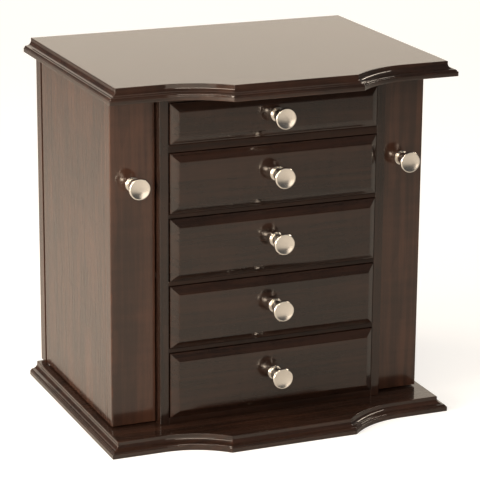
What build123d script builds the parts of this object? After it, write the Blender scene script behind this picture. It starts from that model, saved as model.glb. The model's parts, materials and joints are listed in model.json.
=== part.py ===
from build123d import *
import math
import os

# Jewellery chest: five drawers between two partitions, and a swing-out necklace door on each side.
# Millimetres. X runs across the chest, -Y is the front, +Z is up.
# The origin is the centre of the footprint, on the underside of the base.

# ---- overall sizes ----
PLATE_WIDTH = 480.0
PLATE_THICKNESS = 19.0
BOARD = 19.0                      # door strips, drawer fronts and back board
PARTITION = 12.0
DEPTH = 390.0                     # from the bow of the plates to the face of the back board
BOW_DEPTH = 34.0                  # how far the bow stands in front of the plate's straight parts
BOW_CORNER_X = 89.0               # half the length of the bow's flat front
BOW_START_X = 170.0               # where each hollow curve of the bow begins
BACK_OVERHANG = 9.0               # how far the back board stands out behind the plates
CARCASS_HALF = 220.0
CENTRE_HALF = 158.0               # half the width over both partitions
STRIP_RECESS = 59.0               # from the plate's straight front back to the door strips
STILE_RECESS = 45.0               # from the plate's straight front back to the partition edges

BOW_Y = -DEPTH / 2
PLATE_FRONT_Y = BOW_Y + BOW_DEPTH
BACK_Y = DEPTH / 2
PLATE_BACK_Y = BACK_Y - BACK_OVERHANG
BACK_BOARD_Y = BACK_Y - BOARD     # front face of the back board
STRIP_Y = PLATE_FRONT_Y + STRIP_RECESS
STILE_Y = PLATE_FRONT_Y + STILE_RECESS

# ---- drawer openings, from the top down ----
TOP_RAIL = 13.3                   # rail between the top plate and the first drawer
RAIL_DEPTH = 45.0
FRONT_HEIGHTS = [53.2, 79.0, 82.5, 83.5, 88.0]
SHELF_THICKNESS = [10.5, 6.0, 6.0, 6.0]
BOTTOM_SHELF = 9.0
FRONT_GAP = 0.7                   # above and below each drawer front
SIDE_GAP = 1.4                    # at each end of a drawer front
SLIDE_GAP = 0.3                   # under the drawer sides
DADO = 4.0                        # depth of the housings for shelves and partitions
DADO_STOP = 12.0                  # the housings stop this far behind the partition's front edge

CARCASS_BOTTOM = PLATE_THICKNESS
CARCASS_HEIGHT = (TOP_RAIL + sum(FRONT_HEIGHTS) + sum(SHELF_THICKNESS) + BOTTOM_SHELF
                  + 2 * FRONT_GAP * len(FRONT_HEIGHTS))
CARCASS_TOP = CARCASS_BOTTOM + CARCASS_HEIGHT
PARTITION_INNER = CENTRE_HALF - PARTITION

# ---- edge moulding of the plates: flat face, bead, cove, fillet ----
FACE_HEIGHT = 6.4
LEDGE = 1.3
BEAD_RADIUS = 2.5
COVE_RADIUS = 6.7
ARRIS = 0.7
CUTTER_OVERRUN = 2.0              # the moulding runs this far past the ends of a straight edge
BOW_OVERRUN = 14.0                # and this far past each end of the bow
PAST_CORNER = 15.0                # degrees that it runs past the end of a hollow curve
STRIP_ROUND = 1.2                 # rounding of the door strips' front arrises
BACK_CHAMFER = 0.8
PARTITION_CHAMFER = 0.6
MOULDING_INSET = LEDGE + BEAD_RADIUS + COVE_RADIUS

# ---- drawers ----
EDGE_PROUD = 2.0                  # how far the rim of a drawer front stands before the stiles
BEVEL_WIDTH = 9.5
BEVEL_DEPTH = 6.0
FIELD_STEP = 1.0
RIM_LAND = 0.5                    # flat rim outside the bevel
FIELD_Y = STILE_Y - EDGE_PROUD - BEVEL_DEPTH - FIELD_STEP
FRONT_BACK_Y = FIELD_Y + BOARD
FRONT_HALF = PARTITION_INNER - SIDE_GAP
DRAWER_SIDE = 8.0
DRAWER_BOTTOM = 4.0
BOTTOM_RISE = 6.0                 # from the lower edge of the sides to the drawer bottom
DRAWER_LENGTH = 264.0             # from the back of the front to the back of the drawer
DRAWER_BACK_Y = FRONT_BACK_Y + DRAWER_LENGTH
SIDE_DROP = 7.0                   # drawer sides end this far below the top of the front
RABBET = 5.0
LINING = 1.6
DRAWER_INNER = FRONT_HALF - DRAWER_SIDE
LINING_MARGIN = 0.4               # between the lining and the drawer's walls
STOP_X = 105.0                    # middle of each stop block behind a drawer
STOP_WIDTH = 24.0
STOP_HEIGHT = 20.0
STOP_GAP = 0.3                    # between a closed drawer and its stops

# ---- side doors ----
DOOR_GAP_BELOW = 2.2
DOOR_GAP_ABOVE = 2.0
DOOR_SIDE_GAP = 1.2               # between a door strip and the partition
PANEL = 15.0
PIVOT_OFFSET = 6.0                # from the panel's outer face and from its rear edge
PANEL_BACK_GAP = 0.8
PIN_RADIUS = 2.5
PIN_CLEARANCE = 0.06
PIN_GRIP = 14.0
PIN_SEAT = 12.0
COLLAR_RADIUS = 5.2
COLLAR_GAP = 0.2                  # between the collar and the door's underside
DOOR_BOTTOM = CARCASS_BOTTOM + DOOR_GAP_BELOW
DOOR_TOP = CARCASS_TOP - DOOR_GAP_ABOVE
STRIP_INNER_X = CENTRE_HALF + DOOR_SIDE_GAP
PANEL_INNER_X = CARCASS_HALF - PANEL
PANEL_REAR_Y = BACK_BOARD_Y - PANEL_BACK_GAP
PIVOT_X = CARCASS_HALF - PIVOT_OFFSET
PIVOT_Y = PANEL_REAR_Y - PIVOT_OFFSET
DOOR_KNOB_Z = CARCASS_BOTTOM + 0.734 * CARCASS_HEIGHT
STRIP_BACK_Y = STRIP_Y + BOARD
TRAY_DEPTH = 37.0                 # how far the catch tray reaches in from the panel
TRAY_WALL = 6.0
TRAY_HEIGHT = 42.0
TRAY_Z = DOOR_BOTTOM + 10.0
TRAY_FRONT_GAP = 4.0              # from the back of the strip to the tray
TRAY_REAR_GAP = 22.0              # from the rear of the panel to the tray
HOOK_COUNT = 6
HOOK_PITCH = 36.0
HOOK_Z = DOOR_TOP - 34.0
HOOK_REACH = 15.0
HOOK_RISE = 8.0
HOOK_WIRE = 1.3
HOOK_GRIP = 8.0
HOOK_BEND = 3.5
HOOK_BALL = 1.75
ROSE_RADIUS = 3.6
ROSE_THICKNESS = 1.2

# ---- knobs and their screws ----
KNOB_RADIUS = 14.3
KNOB_PROJECTION = 28.6
KNOB_RISE = 2.5                   # above the middle of a drawer front
FOOT_RADIUS = 9.2
FOOT_THICKNESS = 1.3
FOOT_BULGE = 0.5
NECK_RADIUS = 6.6
NECK_HEIGHT = 12.0                # height of the narrowest part of the neck
SHOULDER_HEIGHT = 23.8            # where the underside of the head meets its edge
RIM_HEIGHT = 27.0
RIM_ROUND = 1.5
DISH = 1.7                        # how far the middle of the face lies below its rim
DISH_FLAT = 1.0
SCREW_RADIUS = 2.0
SCREW_GRIP = 8.0
BORE_CLEARANCE = 0.02             # between the screw and the bore in the knob
BOARD_CLEARANCE = 0.2             # between the screw and the hole in the board
PAN_RADIUS = 4.0
PAN_HEIGHT = 2.4
PAN_ROUND = 1.2
SLOT_WIDTH = 1.0

# ---- countersunk screws of the carcass ----
LONG_SCREW = 45.0
LONG_RADIUS = 2.0
LONG_HEAD_RADIUS = 4.1
LONG_CLEARANCE = 0.1
POINT_RADIUS = 0.3
SCREW_SINK = 0.4                  # heads sit this far below the face
BASE_SCREW_Y = [-80.0, 30.0, 140.0]
BACK_SCREW_Z = [70.0, 180.0, 300.0, 410.0]

# ---- inserts ----
ROLL_PITCH = 18.0
ROLL_COUNT = 8
ROLL_HEIGHT = 15.0
ROLL_GAP = 0.6                    # between two rolls
ROLL_START = 1.2                  # from the front board to the first roll
ROLL_END_GAP = 1.0
DIVIDER = 6.0
DIVIDER_HEIGHT = 36.0
DIVIDER_Y = 20.0
DIVIDER_X = 46.0
DIVIDER_END_GAP = 0.6

# ---- catches ----
CATCH_Z = CARCASS_BOTTOM + 0.45 * CARCASS_HEIGHT
CATCH_Y = STRIP_Y + BOARD / 2
MAGNET_RADIUS = 5.0
MAGNET_DEPTH = 5.0
STRIKE_RADIUS = 6.0
STRIKE_DEPTH = 1.5

UPRIGHT = (Align.CENTER, Align.CENTER, Align.MIN)
HANGING = (Align.CENTER, Align.CENTER, Align.MAX)


def block(x_low, x_high, y_low, y_high, z_low, z_high):
    """A box between two corners."""
    middle = ((x_low + x_high) / 2, (y_low + y_high) / 2, (z_low + z_high) / 2)
    return Pos(*middle) * Box(x_high - x_low, y_high - y_low, z_high - z_low)


def both_sides(piece):
    """The piece and its mirror image across the chest, as separate solids."""
    return Compound(children=[piece, mirror(piece, about=Plane.YZ)])


def level(index):
    """Lowest point of drawer front number index, counted from 0 at the top."""
    below = FRONT_HEIGHTS[index + 1:]
    shelves = SHELF_THICKNESS[index:]
    gaps = 2 * FRONT_GAP * len(below) + FRONT_GAP
    return CARCASS_BOTTOM + BOTTOM_SHELF + sum(below) + sum(shelves) + gaps


# ---- plates ----
def moulding_section():
    """What is cut from a plate's edge: x is the distance in from the edge, y the height."""
    bead_x = LEDGE + BEAD_RADIUS
    bead_z = FACE_HEIGHT + BEAD_RADIUS
    cove_z = bead_z + COVE_RADIUS
    top = PLATE_THICKNESS
    slant = math.sqrt(0.5)
    upper = [
        Line((-1, FACE_HEIGHT - ARRIS), (0, FACE_HEIGHT - ARRIS)),
        ThreePointArc((0, FACE_HEIGHT - ARRIS),
                      (ARRIS * (1 - slant), FACE_HEIGHT - ARRIS * (1 - slant)),
                      (ARRIS, FACE_HEIGHT)),
        Line((ARRIS, FACE_HEIGHT), (LEDGE, FACE_HEIGHT)),
        ThreePointArc((LEDGE, FACE_HEIGHT),
                      (bead_x - BEAD_RADIUS * slant, FACE_HEIGHT + BEAD_RADIUS * slant),
                      (bead_x, bead_z)),
        ThreePointArc((bead_x, bead_z),
                      (bead_x + COVE_RADIUS * slant, cove_z - COVE_RADIUS * slant),
                      (MOULDING_INSET, cove_z)),
        Line((MOULDING_INSET, cove_z), (MOULDING_INSET, top - ARRIS)),
        ThreePointArc((MOULDING_INSET, top - ARRIS),
                      (MOULDING_INSET + ARRIS * (1 - slant), top - ARRIS * (1 - slant)),
                      (MOULDING_INSET + ARRIS, top)),
        Line((MOULDING_INSET + ARRIS, top), (MOULDING_INSET + ARRIS, top + 1)),
        Line((MOULDING_INSET + ARRIS, top + 1), (-1, top + 1)),
        Line((-1, top + 1), (-1, FACE_HEIGHT - ARRIS)),
    ]
    lower = [
        Line((-1, -1), (ARRIS, -1)),
        Line((ARRIS, -1), (ARRIS, 0)),
        ThreePointArc((ARRIS, 0), (ARRIS * (1 - slant), ARRIS * (1 - slant)), (0, ARRIS)),
        Line((0, ARRIS), (-1, ARRIS)),
        Line((-1, ARRIS), (-1, -1)),
    ]
    return [make_face(upper), make_face(lower)]


def straight_cutters(origin, inward, along, length):
    """The moulding's waste along a straight edge: inward and along are unit directions."""
    middle = Vector(*origin) + Vector(*along) * (length / 2)
    plane = Plane(origin=middle, x_dir=inward, z_dir=Vector(*inward).cross(Vector(0, 0, 1)))
    return [extrude(plane * face, amount=length / 2, both=True) for face in moulding_section()]


def bow_radius():
    """Radius of the hollow curve, tangent to the straight front at its outer end."""
    run = BOW_START_X - BOW_CORNER_X
    half_turn = math.atan2(BOW_DEPTH, run)
    return run / math.sin(2 * half_turn), math.degrees(2 * half_turn)


def bow_cutters(z_bottom):
    """The moulding's waste round the left hollow curve, as a turned ring segment."""
    radius, turn = bow_radius()
    centre_y = PLATE_FRONT_Y - radius
    axis = Axis((-BOW_START_X, centre_y, 0), (0, 0, 1))
    plane = Plane(origin=(-BOW_START_X, centre_y + radius, z_bottom), x_dir=(0, 1, 0), z_dir=(1, 0, 0))
    return [revolve(plane * face, axis=axis, revolution_arc=-(turn + PAST_CORNER))
            for face in moulding_section()]


def plate(z_bottom):
    """A plate moulded round its sides and its bowed front, its back left square."""
    half = PLATE_WIDTH / 2
    left_curve = TangentArc((-BOW_START_X, PLATE_FRONT_Y), (-BOW_CORNER_X, BOW_Y), tangent=(1, 0))
    right_curve = TangentArc((BOW_START_X, PLATE_FRONT_Y), (BOW_CORNER_X, BOW_Y), tangent=(-1, 0))
    outline = [
        Line((-half, PLATE_BACK_Y), (-half, PLATE_FRONT_Y)),
        Line((-half, PLATE_FRONT_Y), (-BOW_START_X, PLATE_FRONT_Y)),
        left_curve,
        Line((-BOW_CORNER_X, BOW_Y), (BOW_CORNER_X, BOW_Y)),
        right_curve,
        Line((BOW_START_X, PLATE_FRONT_Y), (half, PLATE_FRONT_Y)),
        Line((half, PLATE_FRONT_Y), (half, PLATE_BACK_Y)),
        Line((half, PLATE_BACK_Y), (-half, PLATE_BACK_Y)),
    ]
    body = extrude(Pos(0, 0, z_bottom) * make_face(outline), amount=PLATE_THICKNESS)
    depth = PLATE_BACK_Y - PLATE_FRONT_Y
    side = straight_cutters((-half, PLATE_FRONT_Y - CUTTER_OVERRUN, z_bottom), (1, 0, 0), (0, 1, 0),
                            depth + 2 * CUTTER_OVERRUN)
    front = straight_cutters((-half - CUTTER_OVERRUN, PLATE_FRONT_Y, z_bottom), (0, 1, 0), (1, 0, 0),
                             half + CUTTER_OVERRUN - BOW_START_X)
    bow = straight_cutters((-BOW_CORNER_X - BOW_OVERRUN, BOW_Y, z_bottom), (0, 1, 0), (1, 0, 0),
                           2 * (BOW_CORNER_X + BOW_OVERRUN))
    for cutter in side + front + bow_cutters(z_bottom):
        body -= cutter
        body -= mirror(cutter, about=Plane.YZ)
    for cutter in bow:
        body -= cutter
    return body


# ---- countersunk screws of the carcass ----
def long_screw():
    """A wood screw along +Z with its flat head's face at 0, slotted across."""
    shank = Cylinder(LONG_RADIUS, LONG_SCREW - LONG_RADIUS, align=UPRIGHT)
    point = Cone(LONG_RADIUS, POINT_RADIUS, LONG_RADIUS, align=UPRIGHT)
    head = Cone(LONG_HEAD_RADIUS, LONG_RADIUS, LONG_HEAD_RADIUS - LONG_RADIUS, align=UPRIGHT)
    slot = Box(2 * LONG_HEAD_RADIUS, SLOT_WIDTH, 1.6 * SLOT_WIDTH)
    return shank + Pos(0, 0, LONG_SCREW - LONG_RADIUS) * point + head - slot


def long_hole():
    """The drilled and countersunk hole for a long screw, a little larger all round."""
    radius = LONG_RADIUS + LONG_CLEARANCE
    head_radius = LONG_HEAD_RADIUS + 2 * LONG_CLEARANCE
    bore = Cylinder(radius, LONG_SCREW + 2 * LONG_CLEARANCE, align=UPRIGHT)
    sink = Cone(head_radius, radius, head_radius - radius, align=UPRIGHT)
    mouth = Pos(0, 0, -SCREW_SINK) * Cylinder(head_radius, 1.05 * SCREW_SINK, align=UPRIGHT)
    return bore + sink + mouth


def up_through_base(piece):
    """Six copies standing in the underside of the base, under the partitions."""
    partition_middle = CENTRE_HALF - PARTITION / 2
    return [Pos(side * partition_middle, y, SCREW_SINK) * piece
            for side in (-1, 1) for y in BASE_SCREW_Y]


def forward_through_back(piece):
    """Eight copies lying in the back board, behind the partitions."""
    partition_middle = CENTRE_HALF - PARTITION / 2
    return [Pos(side * partition_middle, BACK_Y - SCREW_SINK, z) * Rot(90, 0, 0) * piece
            for side in (-1, 1) for z in BACK_SCREW_Z]


# ---- carcass ----
def cut_all(piece, cutters):
    for cutter in cutters:
        piece -= cutter
    return piece


def partition_housings(piece, z_low, z_high):
    """Housings for both partitions."""
    for side in (-1, 1):
        x_edges = sorted((side * PARTITION_INNER, side * CENTRE_HALF))
        piece -= block(x_edges[0], x_edges[1], STILE_Y + DADO_STOP, BACK_BOARD_Y, z_low, z_high)
    return piece


def pin_seats(piece, z_low, z_high):
    """Holes in a plate for the door pivot pins, a tight fit on the pins."""
    for side in (-1, 1):
        middle = (side * PIVOT_X, PIVOT_Y, (z_low + z_high) / 2)
        piece -= Pos(*middle) * Cylinder(PIN_RADIUS, z_high - z_low)
    return piece


def base_plate():
    piece = plate(0)
    piece = partition_housings(piece, PLATE_THICKNESS - DADO, PLATE_THICKNESS)
    piece = pin_seats(piece, PLATE_THICKNESS - PIN_SEAT, PLATE_THICKNESS)
    return cut_all(piece, up_through_base(long_hole()))


def top_plate():
    piece = plate(CARCASS_TOP)
    piece = partition_housings(piece, CARCASS_TOP, CARCASS_TOP + DADO)
    return pin_seats(piece, CARCASS_TOP, CARCASS_TOP + PIN_SEAT)


def back_board():
    piece = block(-CARCASS_HALF, CARCASS_HALF, BACK_BOARD_Y, BACK_Y, CARCASS_BOTTOM, CARCASS_TOP)
    piece = chamfer(piece.edges().filter_by(Axis.Z).group_by(Axis.Y)[-1], BACK_CHAMFER)
    return cut_all(piece, forward_through_back(long_hole()))


def shelf_levels():
    """Bottom and top of each shelf, from the highest to the lowest."""
    spans = []
    for index, thickness in enumerate(SHELF_THICKNESS):
        top = level(index) - FRONT_GAP
        spans.append((top - thickness, top))
    return spans


def partition(side):
    """A partition standing in housings in both plates, with housings for the four shelves."""
    x_low, x_high = sorted((side * PARTITION_INNER, side * CENTRE_HALF))
    piece = block(x_low, x_high, STILE_Y, BACK_BOARD_Y, CARCASS_BOTTOM, CARCASS_TOP)
    piece = chamfer(piece.edges().filter_by(Axis.Z).group_by(Axis.Y)[0], PARTITION_CHAMFER)
    piece += block(x_low, x_high, STILE_Y + DADO_STOP, BACK_BOARD_Y,
                   CARCASS_BOTTOM - DADO, CARCASS_TOP + DADO)
    inner, floor = side * PARTITION_INNER, side * (PARTITION_INNER + DADO)
    for z_low, z_high in shelf_levels():
        piece -= block(min(inner, floor), max(inner, floor), STILE_Y + DADO_STOP, BACK_BOARD_Y,
                       z_low, z_high)
    magnet = Pos(side * (CENTRE_HALF - MAGNET_DEPTH / 2), CATCH_Y, CATCH_Z) * Rot(0, 90, 0)
    piece -= magnet * Cylinder(MAGNET_RADIUS, MAGNET_DEPTH)
    return cut_all(piece, up_through_base(long_hole()) + forward_through_back(long_hole()))


def shelf(index):
    """A shelf let into both partitions, flush with them in front."""
    z_low, z_high = shelf_levels()[index]
    front = block(-PARTITION_INNER, PARTITION_INNER, STILE_Y, STILE_Y + DADO_STOP, z_low, z_high)
    wide = PARTITION_INNER + DADO
    return front + block(-wide, wide, STILE_Y + DADO_STOP, BACK_BOARD_Y, z_low, z_high)


def end_rails():
    """The rail under the top plate and the shelf on the base, flush with the partitions."""
    top = block(-PARTITION_INNER, PARTITION_INNER, STILE_Y, STILE_Y + RAIL_DEPTH,
                CARCASS_TOP - TOP_RAIL, CARCASS_TOP)
    bottom = block(-PARTITION_INNER, PARTITION_INNER, STILE_Y, BACK_BOARD_Y,
                   CARCASS_BOTTOM, CARCASS_BOTTOM + BOTTOM_SHELF)
    return Compound(children=[top, bottom])


def drawer_stops():
    """Two stop blocks behind each drawer, glued to the shelf below it."""
    blocks = []
    for index in range(len(FRONT_HEIGHTS)):
        z_low = level(index) - FRONT_GAP
        for x in (-STOP_X, STOP_X):
            blocks.append(block(x - STOP_WIDTH / 2, x + STOP_WIDTH / 2, DRAWER_BACK_Y + STOP_GAP,
                                BACK_BOARD_Y, z_low, z_low + STOP_HEIGHT))
    return Compound(children=blocks)


def pivot_pins():
    """Steel pins in both plates at each door's rear edge; the lower ones have a collar."""
    lower_length = PIN_SEAT + DOOR_GAP_BELOW + PIN_GRIP
    collar = Cylinder(COLLAR_RADIUS, DOOR_GAP_BELOW - COLLAR_GAP, align=UPRIGHT)
    shaft = Cylinder(PIN_RADIUS, lower_length, align=UPRIGHT) + Pos(0, 0, PIN_SEAT) * collar
    lower = Pos(-PIVOT_X, PIVOT_Y, CARCASS_BOTTOM - PIN_SEAT) * shaft
    upper_length = PIN_SEAT + DOOR_GAP_ABOVE + PIN_GRIP
    upper = Cylinder(PIN_RADIUS, upper_length, align=HANGING)
    upper = Pos(-PIVOT_X, PIVOT_Y, CARCASS_TOP + PIN_SEAT) * upper
    pins = [lower, upper]
    pins += [mirror(pin, about=Plane.YZ) for pin in (lower, upper)]
    return Compound(children=pins)


def catch_magnets():
    magnet = Cylinder(MAGNET_RADIUS, MAGNET_DEPTH)
    magnet = Pos(-CENTRE_HALF + MAGNET_DEPTH / 2, CATCH_Y, CATCH_Z) * Rot(0, 90, 0) * magnet
    return both_sides(magnet)


# ---- knobs ----
def knob(x, y, z):
    """A turned mushroom knob with a shallow dished face, its base on the plane y."""
    edge = KNOB_RADIUS - 0.9
    face = KNOB_PROJECTION
    outline = [
        Line((0, 0), (FOOT_RADIUS, 0)),
        ThreePointArc((FOOT_RADIUS, 0), (FOOT_RADIUS + FOOT_BULGE, FOOT_THICKNESS / 2),
                      (FOOT_RADIUS, FOOT_THICKNESS)),
        ThreePointArc((FOOT_RADIUS, FOOT_THICKNESS), (NECK_RADIUS + 1.0, NECK_HEIGHT / 2),
                      (NECK_RADIUS, NECK_HEIGHT)),
        ThreePointArc((NECK_RADIUS, NECK_HEIGHT), (NECK_RADIUS + 2.3, 0.8 * SHOULDER_HEIGHT),
                      (edge, SHOULDER_HEIGHT)),
        ThreePointArc((edge, SHOULDER_HEIGHT), (KNOB_RADIUS, (SHOULDER_HEIGHT + RIM_HEIGHT) / 2 + 0.3),
                      (KNOB_RADIUS - 0.15, RIM_HEIGHT)),
        ThreePointArc((KNOB_RADIUS - 0.15, RIM_HEIGHT), (KNOB_RADIUS - 0.55, face - 0.45),
                      (KNOB_RADIUS - RIM_ROUND, face)),
        ThreePointArc((KNOB_RADIUS - RIM_ROUND, face), (KNOB_RADIUS / 2, face - 0.77 * DISH),
                      (DISH_FLAT, face - DISH)),
        Line((DISH_FLAT, face - DISH), (0, face - DISH)),
        Line((0, face - DISH), (0, 0)),
    ]
    profile = Plane.XZ * make_face(outline)
    turned = revolve(profile, axis=Axis.Z, revolution_arc=360)
    turned -= Cylinder(SCREW_RADIUS + BORE_CLEARANCE, SCREW_GRIP + 0.5, align=UPRIGHT)
    return Pos(x, y, z) * Rot(90, 0, 0) * turned


def knob_screw(x, y, z):
    """A pan-head screw from behind the board, whose back face is BOARD behind y."""
    shaft = Cylinder(SCREW_RADIUS, BOARD + SCREW_GRIP, align=UPRIGHT)
    head = Cylinder(PAN_RADIUS, PAN_HEIGHT, align=HANGING)
    head = fillet(head.edges().filter_by(GeomType.CIRCLE).sort_by(Axis.Z)[0], PAN_ROUND)
    slot = Pos(0, 0, -PAN_HEIGHT) * Box(2 * PAN_RADIUS + 0.2, SLOT_WIDTH, 1.8 * SLOT_WIDTH)
    return Pos(x, y + BOARD, z) * Rot(90, 0, 0) * (shaft + head - slot)


def knob_hole(x, y, z):
    """Clearance hole for the knob screw through a board."""
    return Pos(x, y + BOARD / 2, z) * Rot(90, 0, 0) * Cylinder(SCREW_RADIUS + BOARD_CLEARANCE, BOARD)


# ---- drawers ----
def bevel_cutter(origin, inward, length):
    """Waste in front of the bevel along one edge of a drawer front."""
    normal = Vector(*inward).cross(Vector(0, 1, 0))
    plane = Plane(origin=origin, x_dir=inward, z_dir=normal)
    deepest = FIELD_STEP + BEVEL_DEPTH
    corners = [
        (-1, -1),
        (BEVEL_WIDTH, -1),
        (BEVEL_WIDTH, FIELD_STEP),
        (RIM_LAND, deepest),
        (0, deepest + RIM_LAND),
        (-1, deepest + RIM_LAND),
    ]
    section = make_face(Polyline(*corners, close=True))
    return extrude(plane * section, amount=length / 2 + 2, both=True)


def drawer_front(index):
    """A raised front: bevelled on four sides, rabbeted for the sides, grooved for the bottom."""
    z_low, height = level(index), FRONT_HEIGHTS[index]
    z_high = z_low + height
    z_mid = z_low + height / 2
    piece = block(-FRONT_HALF, FRONT_HALF, FIELD_Y, FRONT_BACK_Y, z_low, z_high)
    piece -= bevel_cutter((0, FIELD_Y, z_low), (0, 0, 1), 2 * FRONT_HALF)
    piece -= bevel_cutter((0, FIELD_Y, z_high), (0, 0, -1), 2 * FRONT_HALF)
    piece -= bevel_cutter((-FRONT_HALF, FIELD_Y, z_mid), (1, 0, 0), height)
    piece -= bevel_cutter((FRONT_HALF, FIELD_Y, z_mid), (-1, 0, 0), height)
    side_low, side_high = side_span(index)
    for side in (-1, 1):
        x_low, x_high = sorted((side * DRAWER_INNER, side * FRONT_HALF))
        piece -= block(x_low, x_high, FRONT_BACK_Y - RABBET, FRONT_BACK_Y, side_low, side_high)
    groove = side_low + BOTTOM_RISE
    piece -= block(-DRAWER_INNER, DRAWER_INNER, FRONT_BACK_Y - DADO, FRONT_BACK_Y,
                   groove, groove + DRAWER_BOTTOM)
    return piece - knob_hole(0, FIELD_Y, z_mid + KNOB_RISE)


def side_span(index):
    """Lower and upper edge of a drawer's sides."""
    low = level(index) - FRONT_GAP + SLIDE_GAP
    return low, level(index) + FRONT_HEIGHTS[index] - SIDE_DROP


def drawer_box(index):
    """Two grooved sides and a back that stands on the drawer bottom."""
    z_low, z_high = side_span(index)
    groove = z_low + BOTTOM_RISE
    side = block(-FRONT_HALF, -DRAWER_INNER, FRONT_BACK_Y - RABBET, DRAWER_BACK_Y, z_low, z_high)
    side -= block(-DRAWER_INNER - DADO, -DRAWER_INNER, FRONT_BACK_Y - RABBET, DRAWER_BACK_Y,
                  groove, groove + DRAWER_BOTTOM)
    back = block(-DRAWER_INNER, DRAWER_INNER, DRAWER_BACK_Y - DRAWER_SIDE, DRAWER_BACK_Y,
                 groove + DRAWER_BOTTOM, z_high)
    return Compound(children=[side, mirror(side, about=Plane.YZ), back])


def drawer_bottom(index):
    groove = side_span(index)[0] + BOTTOM_RISE
    tongue = DRAWER_INNER + DADO
    wide = block(-tongue, tongue, FRONT_BACK_Y, DRAWER_BACK_Y, groove, groove + DRAWER_BOTTOM)
    return wide + block(-DRAWER_INNER, DRAWER_INNER, FRONT_BACK_Y - DADO, FRONT_BACK_Y,
                        groove, groove + DRAWER_BOTTOM)


def lining_top(index):
    return side_span(index)[0] + BOTTOM_RISE + DRAWER_BOTTOM + LINING


def drawer_lining(index):
    half = DRAWER_INNER - LINING_MARGIN
    return block(-half, half, FRONT_BACK_Y + LINING_MARGIN,
                 DRAWER_BACK_Y - DRAWER_SIDE - LINING_MARGIN,
                 lining_top(index) - LINING, lining_top(index))


def ring_rolls():
    """Soft rolls side by side in the front of the top drawer, rings held between them."""
    length = 2 * (DRAWER_INNER - ROLL_END_GAP)
    half = (ROLL_PITCH - ROLL_GAP) / 2
    straight = ROLL_HEIGHT - half
    outline = [
        Line((-half, 0), (half, 0)),
        Line((half, 0), (half, straight)),
        ThreePointArc((half, straight), (0, ROLL_HEIGHT), (-half, straight)),
        Line((-half, straight), (-half, 0)),
    ]
    rolls = []
    for number in range(ROLL_COUNT):
        y = FRONT_BACK_Y + ROLL_START + ROLL_PITCH * (number + 0.5)
        plane = Plane(origin=(0, y, lining_top(0)), x_dir=(0, 1, 0), z_dir=(1, 0, 0))
        rolls.append(extrude(plane * make_face(outline), amount=length / 2, both=True))
    return Compound(children=rolls)


def drawer_divider():
    """One long strip and two short ones that part the second drawer into four."""
    z_low = lining_top(1)
    z_high = z_low + DIVIDER_HEIGHT
    half = DRAWER_INNER - DIVIDER_END_GAP
    strips = [block(-half, half, DIVIDER_Y, DIVIDER_Y + DIVIDER, z_low, z_high)]
    for x in (-DIVIDER_X, DIVIDER_X):
        strips.append(block(x - DIVIDER / 2, x + DIVIDER / 2,
                            FRONT_BACK_Y + DIVIDER_END_GAP, DIVIDER_Y, z_low, z_high))
    return Compound(children=strips)


# ---- left side door; the right one is its mirror image ----
def door_strip():
    piece = block(-CARCASS_HALF, -STRIP_INNER_X, STRIP_Y, STRIP_BACK_Y, DOOR_BOTTOM, DOOR_TOP)
    piece = fillet(piece.edges().filter_by(Axis.Z).group_by(Axis.Y)[0], STRIP_ROUND)
    piece -= knob_hole(*door_knob_place())
    strike = Pos(-STRIP_INNER_X - STRIKE_DEPTH / 2, CATCH_Y, CATCH_Z) * Rot(0, 90, 0)
    return piece - strike * Cylinder(STRIKE_RADIUS, STRIKE_DEPTH)


def door_knob_place():
    return -(CARCASS_HALF + STRIP_INNER_X) / 2, STRIP_Y, DOOR_KNOB_Z


def door_panel():
    """The wide side of the door, its rear edge rounded about the pivot."""
    piece = block(-CARCASS_HALF, -PANEL_INNER_X, STRIP_BACK_Y, PANEL_REAR_Y, DOOR_BOTTOM, DOOR_TOP)
    rear_outer = piece.edges().filter_by(Axis.Z).group_by(Axis.Y)[-1].sort_by(Axis.X)[0]
    piece = fillet(rear_outer, PIVOT_OFFSET)
    hole = Cylinder(PIN_RADIUS + PIN_CLEARANCE, PIN_GRIP + 1)
    piece -= Pos(-PIVOT_X, PIVOT_Y, DOOR_BOTTOM + (PIN_GRIP + 1) / 2) * hole
    piece -= Pos(-PIVOT_X, PIVOT_Y, DOOR_TOP - (PIN_GRIP + 1) / 2) * hole
    for y in hook_places():
        grip = Rot(0, 90, 0) * Cylinder(HOOK_WIRE, HOOK_GRIP)
        piece -= Pos(-PANEL_INNER_X - HOOK_GRIP / 2, y, HOOK_Z) * grip
    return piece


def hook_places():
    middle = (STRIP_BACK_Y + PANEL_REAR_Y) / 2
    return [middle + HOOK_PITCH * (number - (HOOK_COUNT - 1) / 2) for number in range(HOOK_COUNT)]


def door_hooks():
    """Wire hooks screwed into the panel: out, round a quarter turn, and up."""
    x_start = -PANEL_INNER_X - HOOK_GRIP
    x_tip = -PANEL_INNER_X + HOOK_REACH
    inside = HOOK_BEND * (1 - math.sqrt(0.5))
    hooks = []
    for y in hook_places():
        path = Wire([
            Line((x_start, y, HOOK_Z), (x_tip - HOOK_BEND, y, HOOK_Z)),
            ThreePointArc((x_tip - HOOK_BEND, y, HOOK_Z), (x_tip - inside, y, HOOK_Z + inside),
                          (x_tip, y, HOOK_Z + HOOK_BEND)),
            Line((x_tip, y, HOOK_Z + HOOK_BEND), (x_tip, y, HOOK_Z + HOOK_RISE)),
        ])
        section = Plane(origin=(x_start, y, HOOK_Z), z_dir=(1, 0, 0)) * Circle(HOOK_WIRE)
        wire = sweep(section, path=path)
        rose = Rot(0, 90, 0) * Cylinder(ROSE_RADIUS, ROSE_THICKNESS, align=UPRIGHT)
        ball = Pos(x_tip, y, HOOK_Z + HOOK_RISE) * Sphere(HOOK_BALL)
        hooks.append(wire + Pos(-PANEL_INNER_X, y, HOOK_Z) * rose + ball)
    return Compound(children=hooks)


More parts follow.
